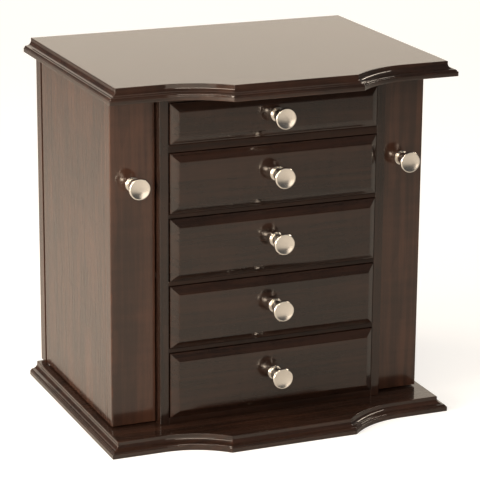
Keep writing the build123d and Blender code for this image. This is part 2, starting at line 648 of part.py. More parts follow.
def door_tray():
    """An open box along the foot of the panel that catches the ends of the chains."""
    x_wall = -PANEL_INNER_X
    x_lip = x_wall + TRAY_DEPTH
    y_front, y_rear = STRIP_BACK_Y + TRAY_FRONT_GAP, PANEL_REAR_Y - TRAY_REAR_GAP
    outer = block(x_wall, x_lip, y_front, y_rear, TRAY_Z, TRAY_Z + TRAY_HEIGHT)
    hollow = block(x_wall, x_lip - TRAY_WALL, y_front + TRAY_WALL, y_rear - TRAY_WALL,
                   TRAY_Z + TRAY_WALL, TRAY_Z + TRAY_HEIGHT + 1)
    return outer - hollow


def door_strike():
    place = Pos(-STRIP_INNER_X - STRIKE_DEPTH / 2, CATCH_Y, CATCH_Z) * Rot(0, 90, 0)
    return place * Cylinder(STRIKE_RADIUS, STRIKE_DEPTH)


def left_door():
    return {
        "strip": door_strip(),
        "panel": door_panel(),
        "hooks": door_hooks(),
        "tray": door_tray(),
        "knob": knob(*door_knob_place()),
        "knob_screw": knob_screw(*door_knob_place()),
        "strike": door_strike(),
    }


def carcass():
    screws = up_through_base(long_screw()) + forward_through_back(long_screw())
    pieces = {
        "base_plate": base_plate(),
        "top_plate": top_plate(),
        "back_board": back_board(),
        "partition_left": partition(-1),
        "partition_right": partition(1),
        "end_rails": end_rails(),
        "drawer_stops": drawer_stops(),
        "assembly_screws": Compound(children=screws),
        "pivot_pins": pivot_pins(),
        "catch_magnets": catch_magnets(),
    }
    for index in range(len(SHELF_THICKNESS)):
        pieces[f"shelf_{index + 1}"] = shelf(index)
    return pieces


def drawer(index):
    z_knob = level(index) + FRONT_HEIGHTS[index] / 2 + KNOB_RISE
    return {
        "front": drawer_front(index),
        "box": drawer_box(index),
        "bottom": drawer_bottom(index),
        "lining": drawer_lining(index),
        "knob": knob(0, FIELD_Y, z_knob),
        "knob_screw": knob_screw(0, FIELD_Y, z_knob),
    }


def all_pieces():
    pieces = carcass()
    for index in range(len(FRONT_HEIGHTS)):
        for name, piece in drawer(index).items():
            pieces[f"drawer_{index + 1}_{name}"] = piece
    pieces["ring_rolls"] = ring_rolls()
    pieces["drawer_2_divider"] = drawer_divider()
    for name, piece in left_door().items():
        pieces[f"left_door_{name}"] = piece
        pieces[f"right_door_{name}"] = mirror(piece, about=Plane.YZ)
    return pieces


os.makedirs("parts", exist_ok=True)
for node, piece in all_pieces().items():
    export_step(piece, f"parts/{node}.step")
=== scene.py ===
import json
import math
from collections import namedtuple

import bpy
import numpy as np
from mathutils import Matrix, Vector

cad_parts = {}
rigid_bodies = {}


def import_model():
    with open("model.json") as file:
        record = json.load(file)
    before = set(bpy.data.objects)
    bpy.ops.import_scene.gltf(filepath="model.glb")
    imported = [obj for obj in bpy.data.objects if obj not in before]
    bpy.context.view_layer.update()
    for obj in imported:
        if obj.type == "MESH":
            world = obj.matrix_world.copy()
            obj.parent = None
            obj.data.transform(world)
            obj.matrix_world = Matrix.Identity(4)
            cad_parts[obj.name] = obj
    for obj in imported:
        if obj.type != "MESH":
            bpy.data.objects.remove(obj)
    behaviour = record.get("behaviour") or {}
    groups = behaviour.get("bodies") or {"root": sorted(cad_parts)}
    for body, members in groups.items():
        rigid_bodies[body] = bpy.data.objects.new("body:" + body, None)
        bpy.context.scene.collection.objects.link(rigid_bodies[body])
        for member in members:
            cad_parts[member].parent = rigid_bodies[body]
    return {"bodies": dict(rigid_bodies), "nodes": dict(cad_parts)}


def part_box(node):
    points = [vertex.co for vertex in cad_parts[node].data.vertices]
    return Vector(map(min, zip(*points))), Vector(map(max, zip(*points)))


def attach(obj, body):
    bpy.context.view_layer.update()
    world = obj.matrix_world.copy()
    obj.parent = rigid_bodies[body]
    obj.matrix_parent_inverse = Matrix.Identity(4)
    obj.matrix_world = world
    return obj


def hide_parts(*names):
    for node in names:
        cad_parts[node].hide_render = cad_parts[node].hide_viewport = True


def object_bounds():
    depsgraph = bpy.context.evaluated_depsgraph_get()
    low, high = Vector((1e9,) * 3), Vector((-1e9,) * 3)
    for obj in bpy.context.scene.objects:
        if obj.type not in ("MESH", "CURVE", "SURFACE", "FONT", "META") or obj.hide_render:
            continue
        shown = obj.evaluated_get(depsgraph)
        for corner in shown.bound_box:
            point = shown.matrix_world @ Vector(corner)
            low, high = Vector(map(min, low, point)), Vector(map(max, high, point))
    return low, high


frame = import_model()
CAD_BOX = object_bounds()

bl_info = {
    "name": "Jewellery Chest Finish",
    "version": (1, 0, 0),
    "blender": (4, 5, 0),
    "location": "3D View > Sidebar > Jewellery Chest",
    "description": "Mouldings, turned knobs, linings, finishes and light for a jewellery chest",
    "category": "Object",
}

MM = 0.001
DRAWERS = [name for name in frame["bodies"] if name.startswith("drawer_")]
DOORS = ["left_door", "right_door"]
LEAST_RADIUS = 0.08 * MM          # a corner is never quite sharp, so it always catches a little light
SUPPORT = 2.0 * MM                # how far wear spreads onto the faces beside an edge
STRAIGHT_SHARE = 0.6              # the most of a straight side that this spread takes
SMOOTH_ANGLE = math.radians(32)
FULL_TURN = 2 * math.pi
BOARD_STEPS = np.array([0.37, 0.061, 0.043])   # from one board's place in the tree to the next one's


# ---- settings ----
def length(name, millimetres, description):
    return bpy.props.FloatProperty(name=name, description=description, default=millimetres * MM,
                                   min=0.0, unit="LENGTH", precision=4)


def colour(name, value, description):
    return bpy.props.FloatVectorProperty(name=name, description=description, default=value,
                                         size=3, min=0.0, max=1.0, subtype="COLOR")


def amount(name, value, description):
    return bpy.props.FloatProperty(name=name, description=description, default=value,
                                   min=0.0, max=1.0, subtype="FACTOR")


class ChestPlates(bpy.types.PropertyGroup):
    """Outline and edge moulding of the top and the base."""
    bow_depth: length("Bow depth", 34.0, "How far the bow stands in front of the straight parts")
    bow_start: length("Bow start", 170.0, "Distance of each hollow curve's outer end from the middle")
    bow_corner: length("Bow corner", 89.0, "Half the length of the bow's flat front")
    face_height: length("Face", 6.4, "Height of the flat face under the moulding")
    ledge: length("Ledge", 1.3, "Width of the ledge between face and bead")
    bead_radius: length("Bead", 2.5, "Radius of the bead")
    cove_radius: length("Cove", 6.7, "Radius of the cove")
    arris: length("Arris", 0.7, "Radius on the face's edges and on the upper edge")
    corner: length("Mitre", 0.7, "How far the mitred corners are softened")


class ChestBoards(bpy.types.PropertyGroup):
    """Softened edges of the plain boards."""
    arris: length("Arris", 0.5, "Radius along the edges of planed boards")
    joint_arris: length("Joint", 0.3, "Radius along the glued joint between door strip and panel")
    strip_radius: length("Strip", 1.2, "Radius along the front edges of the door strips")
    panel_rear_radius: length("Panel rear", 6.0, "Radius of a door panel's rear edge about its pivot")
    drawer_side: length("Drawer side", 8.0, "Thickness of the drawer sides and back")
    rabbet: length("Rabbet", 5.0, "How far the drawer sides are let into the front")
    top_rail: length("Top rail", 13.3, "Height of the rail under the top plate")
    rail_depth: length("Rail depth", 45.0, "Depth of the rail under the top plate")
    bottom_shelf: length("Bottom shelf", 9.0, "Thickness of the shelf on the base")
    divider: length("Divider", 6.0, "Thickness of the divider strips")
    divider_offset: length("Divider offset", 46.0, "Distance of the short strips from the middle")


class ChestFronts(bpy.types.PropertyGroup):
    """Shape of the raised drawer fronts."""
    bevel_width: length("Bevel width", 9.5, "Width of the bevel round the field")
    bevel_depth: length("Bevel depth", 6.0, "How much the bevel rises from the rim to the field")
    step: length("Step", 1.0, "Height of the step round the field")
    rim: length("Rim", 0.5, "Width of the flat rim outside the bevel")
    rim_height: length("Rim height", 12.0, "From the back of the front to its rim")


class ChestKnobs(bpy.types.PropertyGroup):
    """Turned shape of the knobs."""
    base_radius: length("Base radius", 9.7, "Radius of the foot against the board")
    base_height: length("Base height", 1.3, "Height of the foot")
    neck_radius: length("Neck radius", 6.6, "Radius at the narrowest place")
    head_thickness: length("Head", 4.8, "From the face back to the head's underside")
    rim_width: length("Rim width", 1.5, "Width of the rounded rim round the dished face")
    dish_depth: length("Dish", 1.7, "Depth of the dished face")
    collar_height: length("Collar", 0.9, "Height of the small ring round the neck")


class ChestSoft(bpy.types.PropertyGroup):
    """Felt, rolls and hooks."""
    felt: colour("Felt", (0.055, 0.05, 0.05), "Colour of the felt and of the ring rolls")
    roll_count: bpy.props.IntProperty(name="Rolls", description="Number of ring rolls", default=8, min=1)
    roll_gap: length("Roll gap", 0.5, "Space between two ring rolls")
    roll_end: length("Roll end", 5.0, "Length over which a roll's end rounds off")
    felt_edge: length("Felt edge", 0.7, "Radius on the cut edges of the felt")
    door_felt: length("Door felt", 0.8, "Thickness of the felt on a door's inner face")
    hook_wire: length("Hook wire", 1.3, "Radius of the hooks' wire")
    hook_rose: length("Hook rose", 3.6, "Radius of the collar where a hook leaves the panel")
    hook_bend: length("Hook bend", 3.5, "Radius of the bend")
    hook_ball: length("Hook ball", 1.75, "Radius of the ball on a hook's tip")


class ChestFinish(bpy.types.PropertyGroup):
    """Colours and gloss of the wood and the metals."""
    stain_light: colour("Stain, light", (0.054, 0.0225, 0.0135), "Where the stain took least")
    stain_dark: colour("Stain, dark", (0.017, 0.0078, 0.0052), "Where the stain took most")
    maple_light: colour("Maple, light", (0.52, 0.35, 0.2), "Early wood of the drawer boxes")
    maple_dark: colour("Maple, dark", (0.33, 0.19, 0.09), "Late wood of the drawer boxes")
    nickel: colour("Nickel", (0.8, 0.76, 0.71), "Brushed nickel of the knobs")
    brass: colour("Brass", (0.75, 0.55, 0.26), "Polished hooks")
    zinc: colour("Zinc", (0.62, 0.62, 0.63), "Screws, pins and strikes")
    wear: amount("Wear", 0.35, "How far the finish is rubbed along the edges")
    dust: amount("Dust", 0.05, "Fine dust on faces that look up")


class ChestStage(bpy.types.PropertyGroup):
    """Camera, floor and backdrop."""
    azimuth: bpy.props.FloatProperty(name="Azimuth", description="Camera's turn to the chest's left",
                                     default=math.radians(22.79), subtype="ANGLE")
    pitch: bpy.props.FloatProperty(name="Pitch", description="Camera's tilt below the horizon",
                                   default=math.radians(16.42), subtype="ANGLE")
    roll: bpy.props.FloatProperty(name="Roll", description="Camera's turn about its own line of sight",
                                  default=math.radians(0.41), subtype="ANGLE")
    place: bpy.props.FloatVectorProperty(name="Camera place", description="Where the camera stands",
                                         default=(-1.1529, -2.7475, 1.1011), size=3, subtype="XYZ",
                                         unit="LENGTH")
    lens: bpy.props.FloatProperty(name="Lens", description="Focal length on a 36 mm frame",
                                  default=172.5, unit="CAMERA")
    floor_radius: length("Floor", 9000.0, "Radius of the round floor")
    floor: colour("Floor", (0.6, 0.6, 0.59), "Plain pale floor")
    floor_lift: amount("Floor lift", 0.6, "Brightness that the floor shows to the camera alone")
    warmth: colour("Light colour", (1.0, 0.86, 0.7), "Colour of the lamps")
    sky: bpy.props.FloatProperty(name="Fill", description="Strength of the light from all round",
                                 default=0.08, min=0.0)


# ---- surfaces ----
Shell = namedtuple("Shell", "points faces wear")


def arc(start, middle, end, count):
    """Points on the circle through three points of a plane.

    The centre is equally far from all three; the angle runs evenly from start to end through middle.
    """
    a, b, c = (np.asarray(point, float) for point in (start, middle, end))
    centre = np.linalg.solve(2 * np.array([b - a, c - a]), [b @ b - a @ a, c @ c - a @ a])
    across, up = (np.array([a, b, c]) - centre).T
    angles = np.arctan2(up, across)
    turn_middle, turn = (angles[1:] - angles[0]) % FULL_TURN
    if turn_middle > turn:
        turn -= FULL_TURN
    sweep = angles[0] + turn * np.linspace(0, 1, count)
    radius = np.linalg.norm(a - centre)
    return centre + radius * np.column_stack([np.cos(sweep), np.sin(sweep)])


def quarter(start, end, bulge, count=5):
    """A quarter circle from start to end that bulges towards the corner point bulge."""
    start, end, bulge = (np.asarray(point, float) for point in (start, end, bulge))
    middle = (start + end) / 2 + (bulge - (start + end) / 2) * (math.sqrt(2) - 1)
    return arc(start, middle, end, count)


def run(points, wear=0.0):
    """Profile points with a last column that says how rubbed the finish is along them."""
    points = np.atleast_2d(np.asarray(points, float))
    return np.column_stack([points, np.full(len(points), wear)])


def shell(rings, wear):
    """A closed surface through successive rings of points.

    Point n of ring l joins its neighbours n + 1 and l + 1. The first and the last ring are closed by
    strips between points n and N - 1 - n. The faces are turned over if the volume comes out negative.
    """
    levels, count, _ = rings.shape
    index = np.arange(levels * count).reshape(levels, count)
    after = np.roll(index, -1, axis=1)
    walls = np.stack([index[:-1], after[:-1], after[1:], index[1:]], axis=-1).reshape(-1, 4)
    near = np.arange(count // 2 - 1)
    far = count - 1 - near
    first = np.column_stack([near + 1, near, far, far - 1])
    last = index[-1][np.column_stack([near, near + 1, far - 1, far])]
    faces = np.vstack([walls, first, last])
    points = rings.reshape(-1, 3)
    a, b, c, d = (points[faces[:, corner]] for corner in range(4))
    volume = np.einsum("ij,ij->", a, np.cross(b, c) + np.cross(c, d))
    return Shell(points, faces if volume > 0 else faces[:, ::-1], wear.reshape(-1))


def together(*wears):
    """Wear from several causes on one place: what is left unworn multiplies."""
    unworn = 1.0
    for wear in wears:
        unworn = unworn * (1 - wear)
    return 1 - unworn


def rectangles(half_sizes, insets, radii, count=5):
    """Rounded rectangles about the middle, one for each row of insets, and the wear along a ring.

    Each corner is a quarter circle whose radius shrinks with the inset, with one more point on the
    straight side before it and one after it.
    """
    half = np.asarray(half_sizes) - insets
    signs = np.array([(-1, -1), (1, -1), (1, 1), (-1, 1)])
    radius = np.maximum(np.asarray(radii) - insets.min(axis=1)[:, None], LEAST_RADIUS)
    centre = signs * (half[:, None, :] - radius[:, :, None])
    angle = np.array([2, 3, 0, 1])[:, None] * math.pi / 2 + np.linspace(0, math.pi / 2, count)
    circle = np.stack([np.cos(angle), np.sin(angle)], axis=-1)
    tangent = np.stack([-np.sin(angle), np.cos(angle)], axis=-1)
    bend = centre[:, :, None, :] + radius[:, :, None, None] * circle
    straight = half.min(axis=1) - radius.max(axis=1)
    spread = np.minimum(SUPPORT, STRAIGHT_SHARE * straight)[:, None, None]
    before = bend[:, :, 0] - spread * tangent[:, 0]
    after = bend[:, :, -1] + spread * tangent[:, -1]
    rings = np.concatenate([before[:, :, None], bend, after[:, :, None]], axis=2)
    wear = np.tile([0.0] + [1.0] * count + [0.0], 4)
    return rings.reshape(len(insets), -1, 2), wear


def softened_ends(size, arris):
    """Rows of inset, distance and wear along a board, rounded at both ends."""
    near = quarter((arris, 0), (0, arris), (0, 0))
    start = np.vstack([run((arris + SUPPORT, 0)), run(near, 1.0), run((0, arris + SUPPORT))])
    end = start[::-1] * (1, -1, 1) + (0, size, 0)
    return np.vstack([start, end])


def circle_angles(count):
    return FULL_TURN * (np.arange(count) + 0.5) / count


def board(low, high, along, arris, radii=None):
    """A board between two corners: rounded rectangles carried along one axis, drawn in at its ends."""
    low, high = np.asarray(low), np.asarray(high)
    order = np.roll([0, 1, 2], -"xyz".index(along))
    size, middle = (high - low)[order], ((high + low) / 2)[order]
    rows = softened_ends(size[0], arris)
    insets = np.repeat(rows[:, :1], 2, axis=1)
    flat, ring_wear = rectangles(size[1:] / 2, insets, [arris] * 4 if radii is None else radii)
    rings = np.empty(flat.shape[:2] + (3,))
    rings[..., order[0]] = (low[order[0]] + rows[:, 1])[:, None]
    rings[..., order[1]] = middle[1] + flat[..., 0]
    rings[..., order[2]] = middle[2] + flat[..., 1]
    return shell(rings, together(rows[:, 2:], ring_wear))


def turned(profile, wear, centre, count=64):
    """A shape turned about a line along -Y: each profile row is a radius and a height on that line."""
    angle = circle_angles(count)
    radius, height = profile.T
    rings = np.empty((len(profile), count, 3))
    rings[..., 0] = centre[0] + radius[:, None] * np.cos(angle)
    rings[..., 1] = centre[1] - height[:, None]
    rings[..., 2] = centre[2] + radius[:, None] * np.sin(angle)
    return shell(rings, np.repeat(wear[:, None], count, axis=1))


def bent_rod(path, radii, count=16):
    """A round rod along a path that lies in one plane y = constant.

    Each ring is the circle across the path: the Y axis and the path's own normal are its two radii.
    """
    heading = np.gradient(path, axis=0)
    heading /= np.linalg.norm(heading, axis=1)[:, None]
    side = np.array([0.0, 1.0, 0.0])
    normal = np.cross(heading, side)
    angle = circle_angles(count)
    across = np.cos(angle)[None, :, None] * side + np.sin(angle)[None, :, None] * normal[:, None, :]
    rings = path[:, None, :] + radii[:, None, None] * across
    return shell(rings, np.zeros(rings.shape[:2]))


# ---- pieces ----
def span(node):
    """Lowest and highest corner of a node, as arrays."""
    low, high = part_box(node)
    return np.array(low), np.array(high)


def between(low, high, **limits):
    """Two corners with some limits replaced: x_low, x_high and so on."""
    low, high = np.array(low, float), np.array(high, float)
    for name, value in limits.items():
        axis, end = name.split("_")
        (low if end == "low" else high)["xyz".index(axis)] = value
    return low, high


def store(mesh, name, kind, values):
    attribute = mesh.attributes.new(name, kind, "POINT")
    field = "vector" if kind == "FLOAT_VECTOR" else "value"
    attribute.data.foreach_set(field, np.asarray(values, np.float32).ravel())


def add_piece(name, shells, look, body, grain="x", stands_for=(), figure=0):
    """One object from closed shells, with a finish.

    Its attribute "wear" is the shells' wear. Its attribute "figure" is the place in the tree that
    each point was cut from: first along the grain, then across it, moved on for every shell.
    """
    order = np.roll([0, 1, 2], -"xyz".index(grain))
    points, faces, places, wear = [], [], [], []
    count = 0
    for number, part in enumerate(shells):
        points.append(part.points)
        faces.append(part.faces + count)
        count += len(part.points)
        cut = figure + number
        steps = np.array([cut, cut * 7 % 11 - 5, cut * 5 % 13])    # shuffled, so neighbours differ
        places.append(part.points[:, order] + steps * BOARD_STEPS)
        wear.append(part.wear)
    mesh = bpy.data.meshes.new(name)
    mesh.from_pydata(np.vstack(points).tolist(), [], np.vstack(faces).tolist())
    mesh.update()
    mesh.polygons.foreach_set("use_smooth", np.ones(len(mesh.polygons), bool))
    mesh.set_sharp_from_angle(angle=SMOOTH_ANGLE)
    store(mesh, "figure", "FLOAT_VECTOR", np.vstack(places))
    store(mesh, "wear", "FLOAT", np.concatenate(wear))
    mesh.materials.append(finish(look))
    piece = bpy.data.objects.new(name, mesh)
    bpy.context.scene.collection.objects.link(piece)
    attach(piece, body)
    if stands_for:
        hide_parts(*stands_for)
    return piece


def moulding(shape, thickness):
    """Rows of inset, height and wear up a plate's edge: rounded face, ledge, bead, cove and fillet."""
    arris, face = shape.arris, shape.face_height
    bead_end = (shape.ledge + shape.bead_radius, face + shape.bead_radius)
    inset, cove_end = bead_end[0] + shape.cove_radius, bead_end[1] + shape.cove_radius
    return np.vstack([
        run((arris + SUPPORT, 0)),
        run(quarter((arris, 0), (0, arris), (0, 0)), 1.0),
        run([(0, arris + SUPPORT), (0, face - arris - SUPPORT / 2)]),
        run(quarter((0, face - arris), (arris, face), (0, face)), 1.0),
        run((shape.ledge, face)),
        run(quarter((shape.ledge, face), bead_end, (shape.ledge, bead_end[1]), 9)[1:], 0.25),
        run(quarter(bead_end, (inset, cove_end), (inset, bead_end[1]), 13)[1:]),
        run(quarter((inset, thickness - arris), (inset + arris, thickness), (inset, thickness)), 0.8),
        run((inset + arris + SUPPORT, thickness)),
    ])


CORNER_REACH = 3.0                # sizes from a softened corner to the straight points beside it
CURVE_STOP = 3.5                  # sizes from the mitre to the hollow curve's last point


def soft_corner(corner, heading_in, heading_out, size):
    """Points round a corner: straight, then a curve of second degree, then straight again.

    The curve is corner - size (1 - t)^2 heading_in + size t^2 heading_out for t from 0 to 1.
    """
    t = np.linspace(0, 1, 5)
    before = np.concatenate([[CORNER_REACH], (1 - t) ** 2, [0.0]]) * size
    after = np.concatenate([[0.0], t ** 2, [CORNER_REACH]]) * size
    points = (corner[:, None, :] - before[None, :, None] * heading_in[:, None, :]
              + after[None, :, None] * heading_out[:, None, :])
    return points, np.array([0.0] + [1.0] * len(t) + [0.0])


def bowed_outline(shape, low, high, insets):
    """The plate's outline at each inset, from the left rear corner round the front to the right.

    Sides and front are parallels of the edge. The hollow curve is an arc about one fixed centre, and
    its radius grows with the inset until it meets the parallel of the bow's flat front.
    """
    ones, zeros = np.ones_like(insets), np.zeros_like(insets)
    front = low[1] + shape.bow_depth
    run_x = shape.bow_start - shape.bow_corner
    radius = run_x / math.sin(2 * math.atan2(shape.bow_depth, run_x))
    centre = np.array([-shape.bow_start, front - radius])
    radii = radius + insets
    last = np.arcsin((low[1] + insets - centre[1]) / radii)
    rear = np.column_stack([low[0] + insets, high[1] * ones])[:, None, :]
    corner = np.column_stack([low[0] + insets, front + insets])
    forward = np.column_stack([zeros, -ones])
    right = np.column_stack([ones, zeros])
    front_corner, corner_wear = soft_corner(corner, forward, right, shape.corner)
    share = np.linspace(0, 1, 22)[:-1]
    stop = last + CURVE_STOP * shape.corner / radii
    angle = math.pi / 2 + (stop - math.pi / 2)[:, None] * share
    curve = centre + radii[:, None, None] * np.stack([np.cos(angle), np.sin(angle)], axis=-1)
    mitre = centre + radii[:, None] * np.column_stack([np.cos(last), np.sin(last)])
    heading = np.column_stack([np.sin(last), -np.cos(last)])
    bow_corner, bow_wear = soft_corner(mitre, heading, right, shape.corner)
    left = np.concatenate([rear, front_corner, curve, bow_corner], axis=1)
    wear = np.concatenate([[0.0], corner_wear, np.zeros(len(share)), bow_wear])
    outline = np.concatenate([left, left[:, ::-1] * (-1, 1)], axis=1)
    return outline, np.concatenate([wear, wear[::-1]])


def moulded_plate(node, shape):
    """The bowed outline carried up the moulding, closed flat below, above and behind."""
    low, high = span(node)
    rows = moulding(shape, high[2] - low[2])
    outline, wear = bowed_outline(shape, low, high, rows[:, 0])
    heights = np.broadcast_to((low[2] + rows[:, 1])[:, None, None], outline.shape[:2] + (1,))
    return shell(np.concatenate([outline, heights], axis=2), together(rows[:, 2:], wear))


def raised_front(node, shape, boards):
    """A drawer front: rectangles carried forward from its back over the rim and up the bevel.

    A row holds the insets of the ends and of the long edges, the height above the back and the wear.
    The rear part is narrower, so that the drawer's sides are let in beside it.
    """
    low, high = span(node)
    middle, half = (low + high) / 2, (high - low) / 2
    arris, rabbet, ends = boards.arris, boards.rabbet, boards.drawer_side
    rim, bevel, top = shape.rim_height, shape.bevel_width, high[1] - low[1]
    hair, nip, blunt = 0.1 * MM, 0.2 * MM, 0.3 * MM
    edge_width, edge_height = 0.4 * MM, 0.35 * MM
    let_in = [
        (ends + nip, 2 * blunt, 0, 0),
        (ends, nip, blunt, 0.3),
        (ends, 0, rabbet - hair, 0),
        (ends, 0, rabbet, 0),
        (nip, 0, rabbet, 0),
    ]
    raised = [
        (0, rabbet + blunt, 0.3),
        (0, rim - arris - SUPPORT, 0),
        (0, rim - arris, 1),
        (0.15 * arris, rim - 0.3 * arris, 1),
        (shape.rim, rim, 1),
        (shape.rim + SUPPORT, rim + SUPPORT * shape.bevel_depth / bevel, 0),
        (bevel - blunt, top - shape.step - hair, 0),
        (bevel, top - shape.step, 0),
        (bevel, top - edge_height, 0.5),
        (bevel + 0.3 * edge_width, top - hair, 1),
        (bevel + edge_width, top, 1),
        (bevel + SUPPORT, top, 0),
    ]
    rows = np.array(let_in + [(inset, inset, height, wear) for inset, height, wear in raised])
    flat, ring_wear = rectangles(half[[0, 2]], rows[:, :2], [arris] * 4)
    rings = np.empty(flat.shape[:2] + (3,))
    rings[..., 0] = middle[0] + flat[..., 0]
    rings[..., 1] = (high[1] - rows[:, 2])[:, None]
    rings[..., 2] = middle[2] + flat[..., 1]
    return shell(rings, together(rows[:, 3:], 0.6 * ring_wear))


def knob_profile(shape, radius, projection):
    """Radius, height and wear up a knob: foot, hollow neck, mushroom, rounded rim and dished face."""
    foot, neck, base = shape.base_radius, shape.neck_radius, shape.base_height
    round_off = 0.5 * MM
    collar, collar_top = foot - 1.2 * MM, base + shape.collar_height
    neck_height, shoulder = 0.42 * projection, projection - shape.head_thickness
    hollow = (neck + 1.0 * MM, 0.5 * neck_height)
    flare = (neck + 2.3 * MM, 0.66 * projection)
    head = radius - 0.9 * MM
    rim, rim_radius = projection - 1.6 * MM, radius - 0.15 * MM
    under_rim = (radius, (shoulder + rim) / 2 + 0.3 * MM)
    over_rim = (radius - 0.55 * MM, projection - 0.45 * MM)
    dish, dish_middle = radius - shape.rim_width, projection - 0.76 * shape.dish_depth
    hub = 0.5 * MM                # radius of the small flat that closes each end
    return np.vstack([
        run([(hub, 0), (collar, 0)]),
        run(arc((foot - round_off, 0), (foot, base / 2), (foot - round_off, base), 7), 0.3),
        run(arc((collar - round_off, base), (collar, (base + collar_top) / 2),
                (collar - round_off, collar_top), 7), 0.3),
        run(arc((collar - 2 * round_off, collar_top), hollow, (neck, neck_height), 13)),
        run(arc((neck, neck_height), flare, (head, shoulder), 15)[1:]),
        run(arc((head, shoulder), under_rim, (rim_radius, rim), 8)[1:], 0.5),
        run(arc((rim_radius, rim), over_rim, (dish, projection), 7)[1:], 1.0),
        run(arc((dish, projection), (radius / 2, dish_middle), (hub, projection - shape.dish_depth),
                15)[1:]),
    ])


def hook_path(wall, reach, y, z, shape, rise):
    """Out from the panel, round a quarter bend and up: the path and the radius along it."""
    bend, wire, rose = shape.hook_bend, shape.hook_wire, shape.hook_rose
    out = np.array([0, 0.35, 0.8, 1.25, 1.7, 2.6]) * MM
    collar = np.array([rose, rose, 0.92 * rose, 0.55 * rose, 1.15 * wire, wire])
    side, reach = np.sign(reach), abs(reach)
    corner = quarter((reach - bend, 0), (reach, bend), (reach, 0), 9)
    turn = np.linspace(-0.32 * math.pi, 0.49 * math.pi, 9)     # round the ball, from the wire to its top
    ball_height = rise + shape.hook_ball * np.sin(turn)
    ball = np.column_stack([np.full(len(turn), reach), ball_height])
    flat = np.vstack([np.column_stack([out, 0 * out]), corner, ball])
    radii = np.concatenate([collar, np.full(len(corner), wire), shape.hook_ball * np.cos(turn)])
    path = np.column_stack([wall + side * flat[:, 0], np.full(len(flat), y), z + flat[:, 1]])
    return path, radii


ROLL_RINGS, ROLL_END_RINGS = 60, 14
SWELL, GATHER = 0.012, 0.03       # how deep a roll's swelling and its gathers are, of its half width
SIDE_POWER, TOP_POWER, UNDERSIDE_POWER = 0.62, 0.9, 0.45     # the lower, the squarer the section


def soft_roll(low, high, shape, number):
    """A stuffed roll along X: a section with straight sides and a round top.

    Its half width and height shrink over the rounded ends as the fourth root of one minus the
    distance past the end's start to the fourth power, and swell by a slow wave along its length.
    Near the ends small gathers run round the section as a cosine of twelve times its angle.
    """
    size, end = high - low, shape.roll_end
    along = np.concatenate([np.linspace(0, end, ROLL_END_RINGS), np.linspace(0, size[0], ROLL_RINGS)[3:-3],
                            size[0] - np.linspace(0, end, ROLL_END_RINGS)[::-1]])
    along = np.unique(along)
    from_end = np.minimum(along, size[0] - along)
    past_end = np.clip(1 - from_end / end, 0, 0.999)
    shrink = (1 - past_end ** 4) ** 0.25
    swell = 1 - SWELL + SWELL * np.sin(along * 90 + 2.1 * number)
    angle = circle_angles(48)
    cosine, sine = np.cos(angle), np.sin(angle)
    across = np.sign(cosine) * np.abs(cosine) ** SIDE_POWER
    upward = np.sign(sine) * np.abs(sine) ** np.where(angle < math.pi, TOP_POWER, UNDERSIDE_POWER)
    gathers = 1 - GATHER * np.exp(-from_end / (2 * end))[:, None] * (1 + np.cos(12 * angle + number))
    scale = (shrink * swell)[:, None] * gathers
    rings = np.empty((len(along), len(angle), 3))
    rings[..., 0] = (low[0] + along)[:, None]
    rings[..., 1] = (low[1] + high[1]) / 2 + scale * across * size[1] / 2
    rings[..., 2] = low[2] + size[2] / 2 + shrink[:, None] * gathers * upward * size[2] / 2
    return shell(rings, np.zeros(rings.shape[:2]))


# ---- shader groups ----
DUST_COLOUR = (0.42, 0.4, 0.37)
LINT_COLOUR = (0.3, 0.28, 0.27)


def opaque(value):
    return (*value, 1.0)


def add_node(tree, kind, inputs=None, **settings):
    """A shader node with its settings made, each given input set to a value or joined to a socket."""
    node = tree.nodes.new("ShaderNode" + kind)
    for name, value in settings.items():
        setattr(node, name, value)
    for name, value in (inputs or {}).items():
        if isinstance(value, bpy.types.NodeSocket):
            tree.links.new(value, node.inputs[name])
        else:
            node.inputs[name].default_value = value
    return node


def maths(tree, operation, *values):
    return add_node(tree, "Math", dict(enumerate(values)), operation=operation).outputs[0]


def remap(tree, value, low, high, to_low=0.0, to_high=1.0):
    """A value taken smoothly from one range to another."""
    node = add_node(tree, "MapRange", {"Value": value, "From Min": low, "From Max": high,
                                       "To Min": to_low, "To Max": to_high},
                    interpolation_type="SMOOTHSTEP")
    return node.outputs["Result"]


def blend(tree, factor, first, second, kind="MIX"):
    """Two colours mixed by a factor."""
    node = add_node(tree, "Mix", {0: factor, 6: first, 7: second}, data_type="RGBA", blend_type=kind)
    return node.outputs[2]


def stretched_noise(tree, vector, scale, detail=3.0, roughness=0.55):
    """Noise with its own scale along each axis, in waves per metre."""
    place = add_node(tree, "Mapping", {"Vector": vector, "Scale": scale}).outputs[0]
    return add_node(tree, "TexNoise", {"Vector": place, "Scale": 1.0, "Detail": detail,
                                       "Roughness": roughness}).outputs[0]


def join(tree, targets, **sources):
    """Joins sockets to the inputs that they are named for, with _ for a space."""
    for label, source in sources.items():
        tree.links.new(source, targets[label.replace("_", " ")])


def bump(tree, shader, height, strength, distance):
    node = add_node(tree, "Bump", {"Height": height, "Strength": strength, "Distance": distance})
    join(tree, shader.inputs, Normal=node.outputs[0])


def new_group(name, inputs, outputs):
    """An empty shader group with named sockets, and its input and output nodes."""
    group = bpy.data.node_groups.new(name, "ShaderNodeTree")
    for direction, sockets in (("INPUT", inputs), ("OUTPUT", outputs)):
        for label, kind in sockets.items():
            group.interface.new_socket(label, in_out=direction, socket_type="NodeSocket" + kind)
    source = group.nodes.new("NodeGroupInput")
    target = group.nodes.new("NodeGroupOutput")
    return group, source.outputs, target.inputs


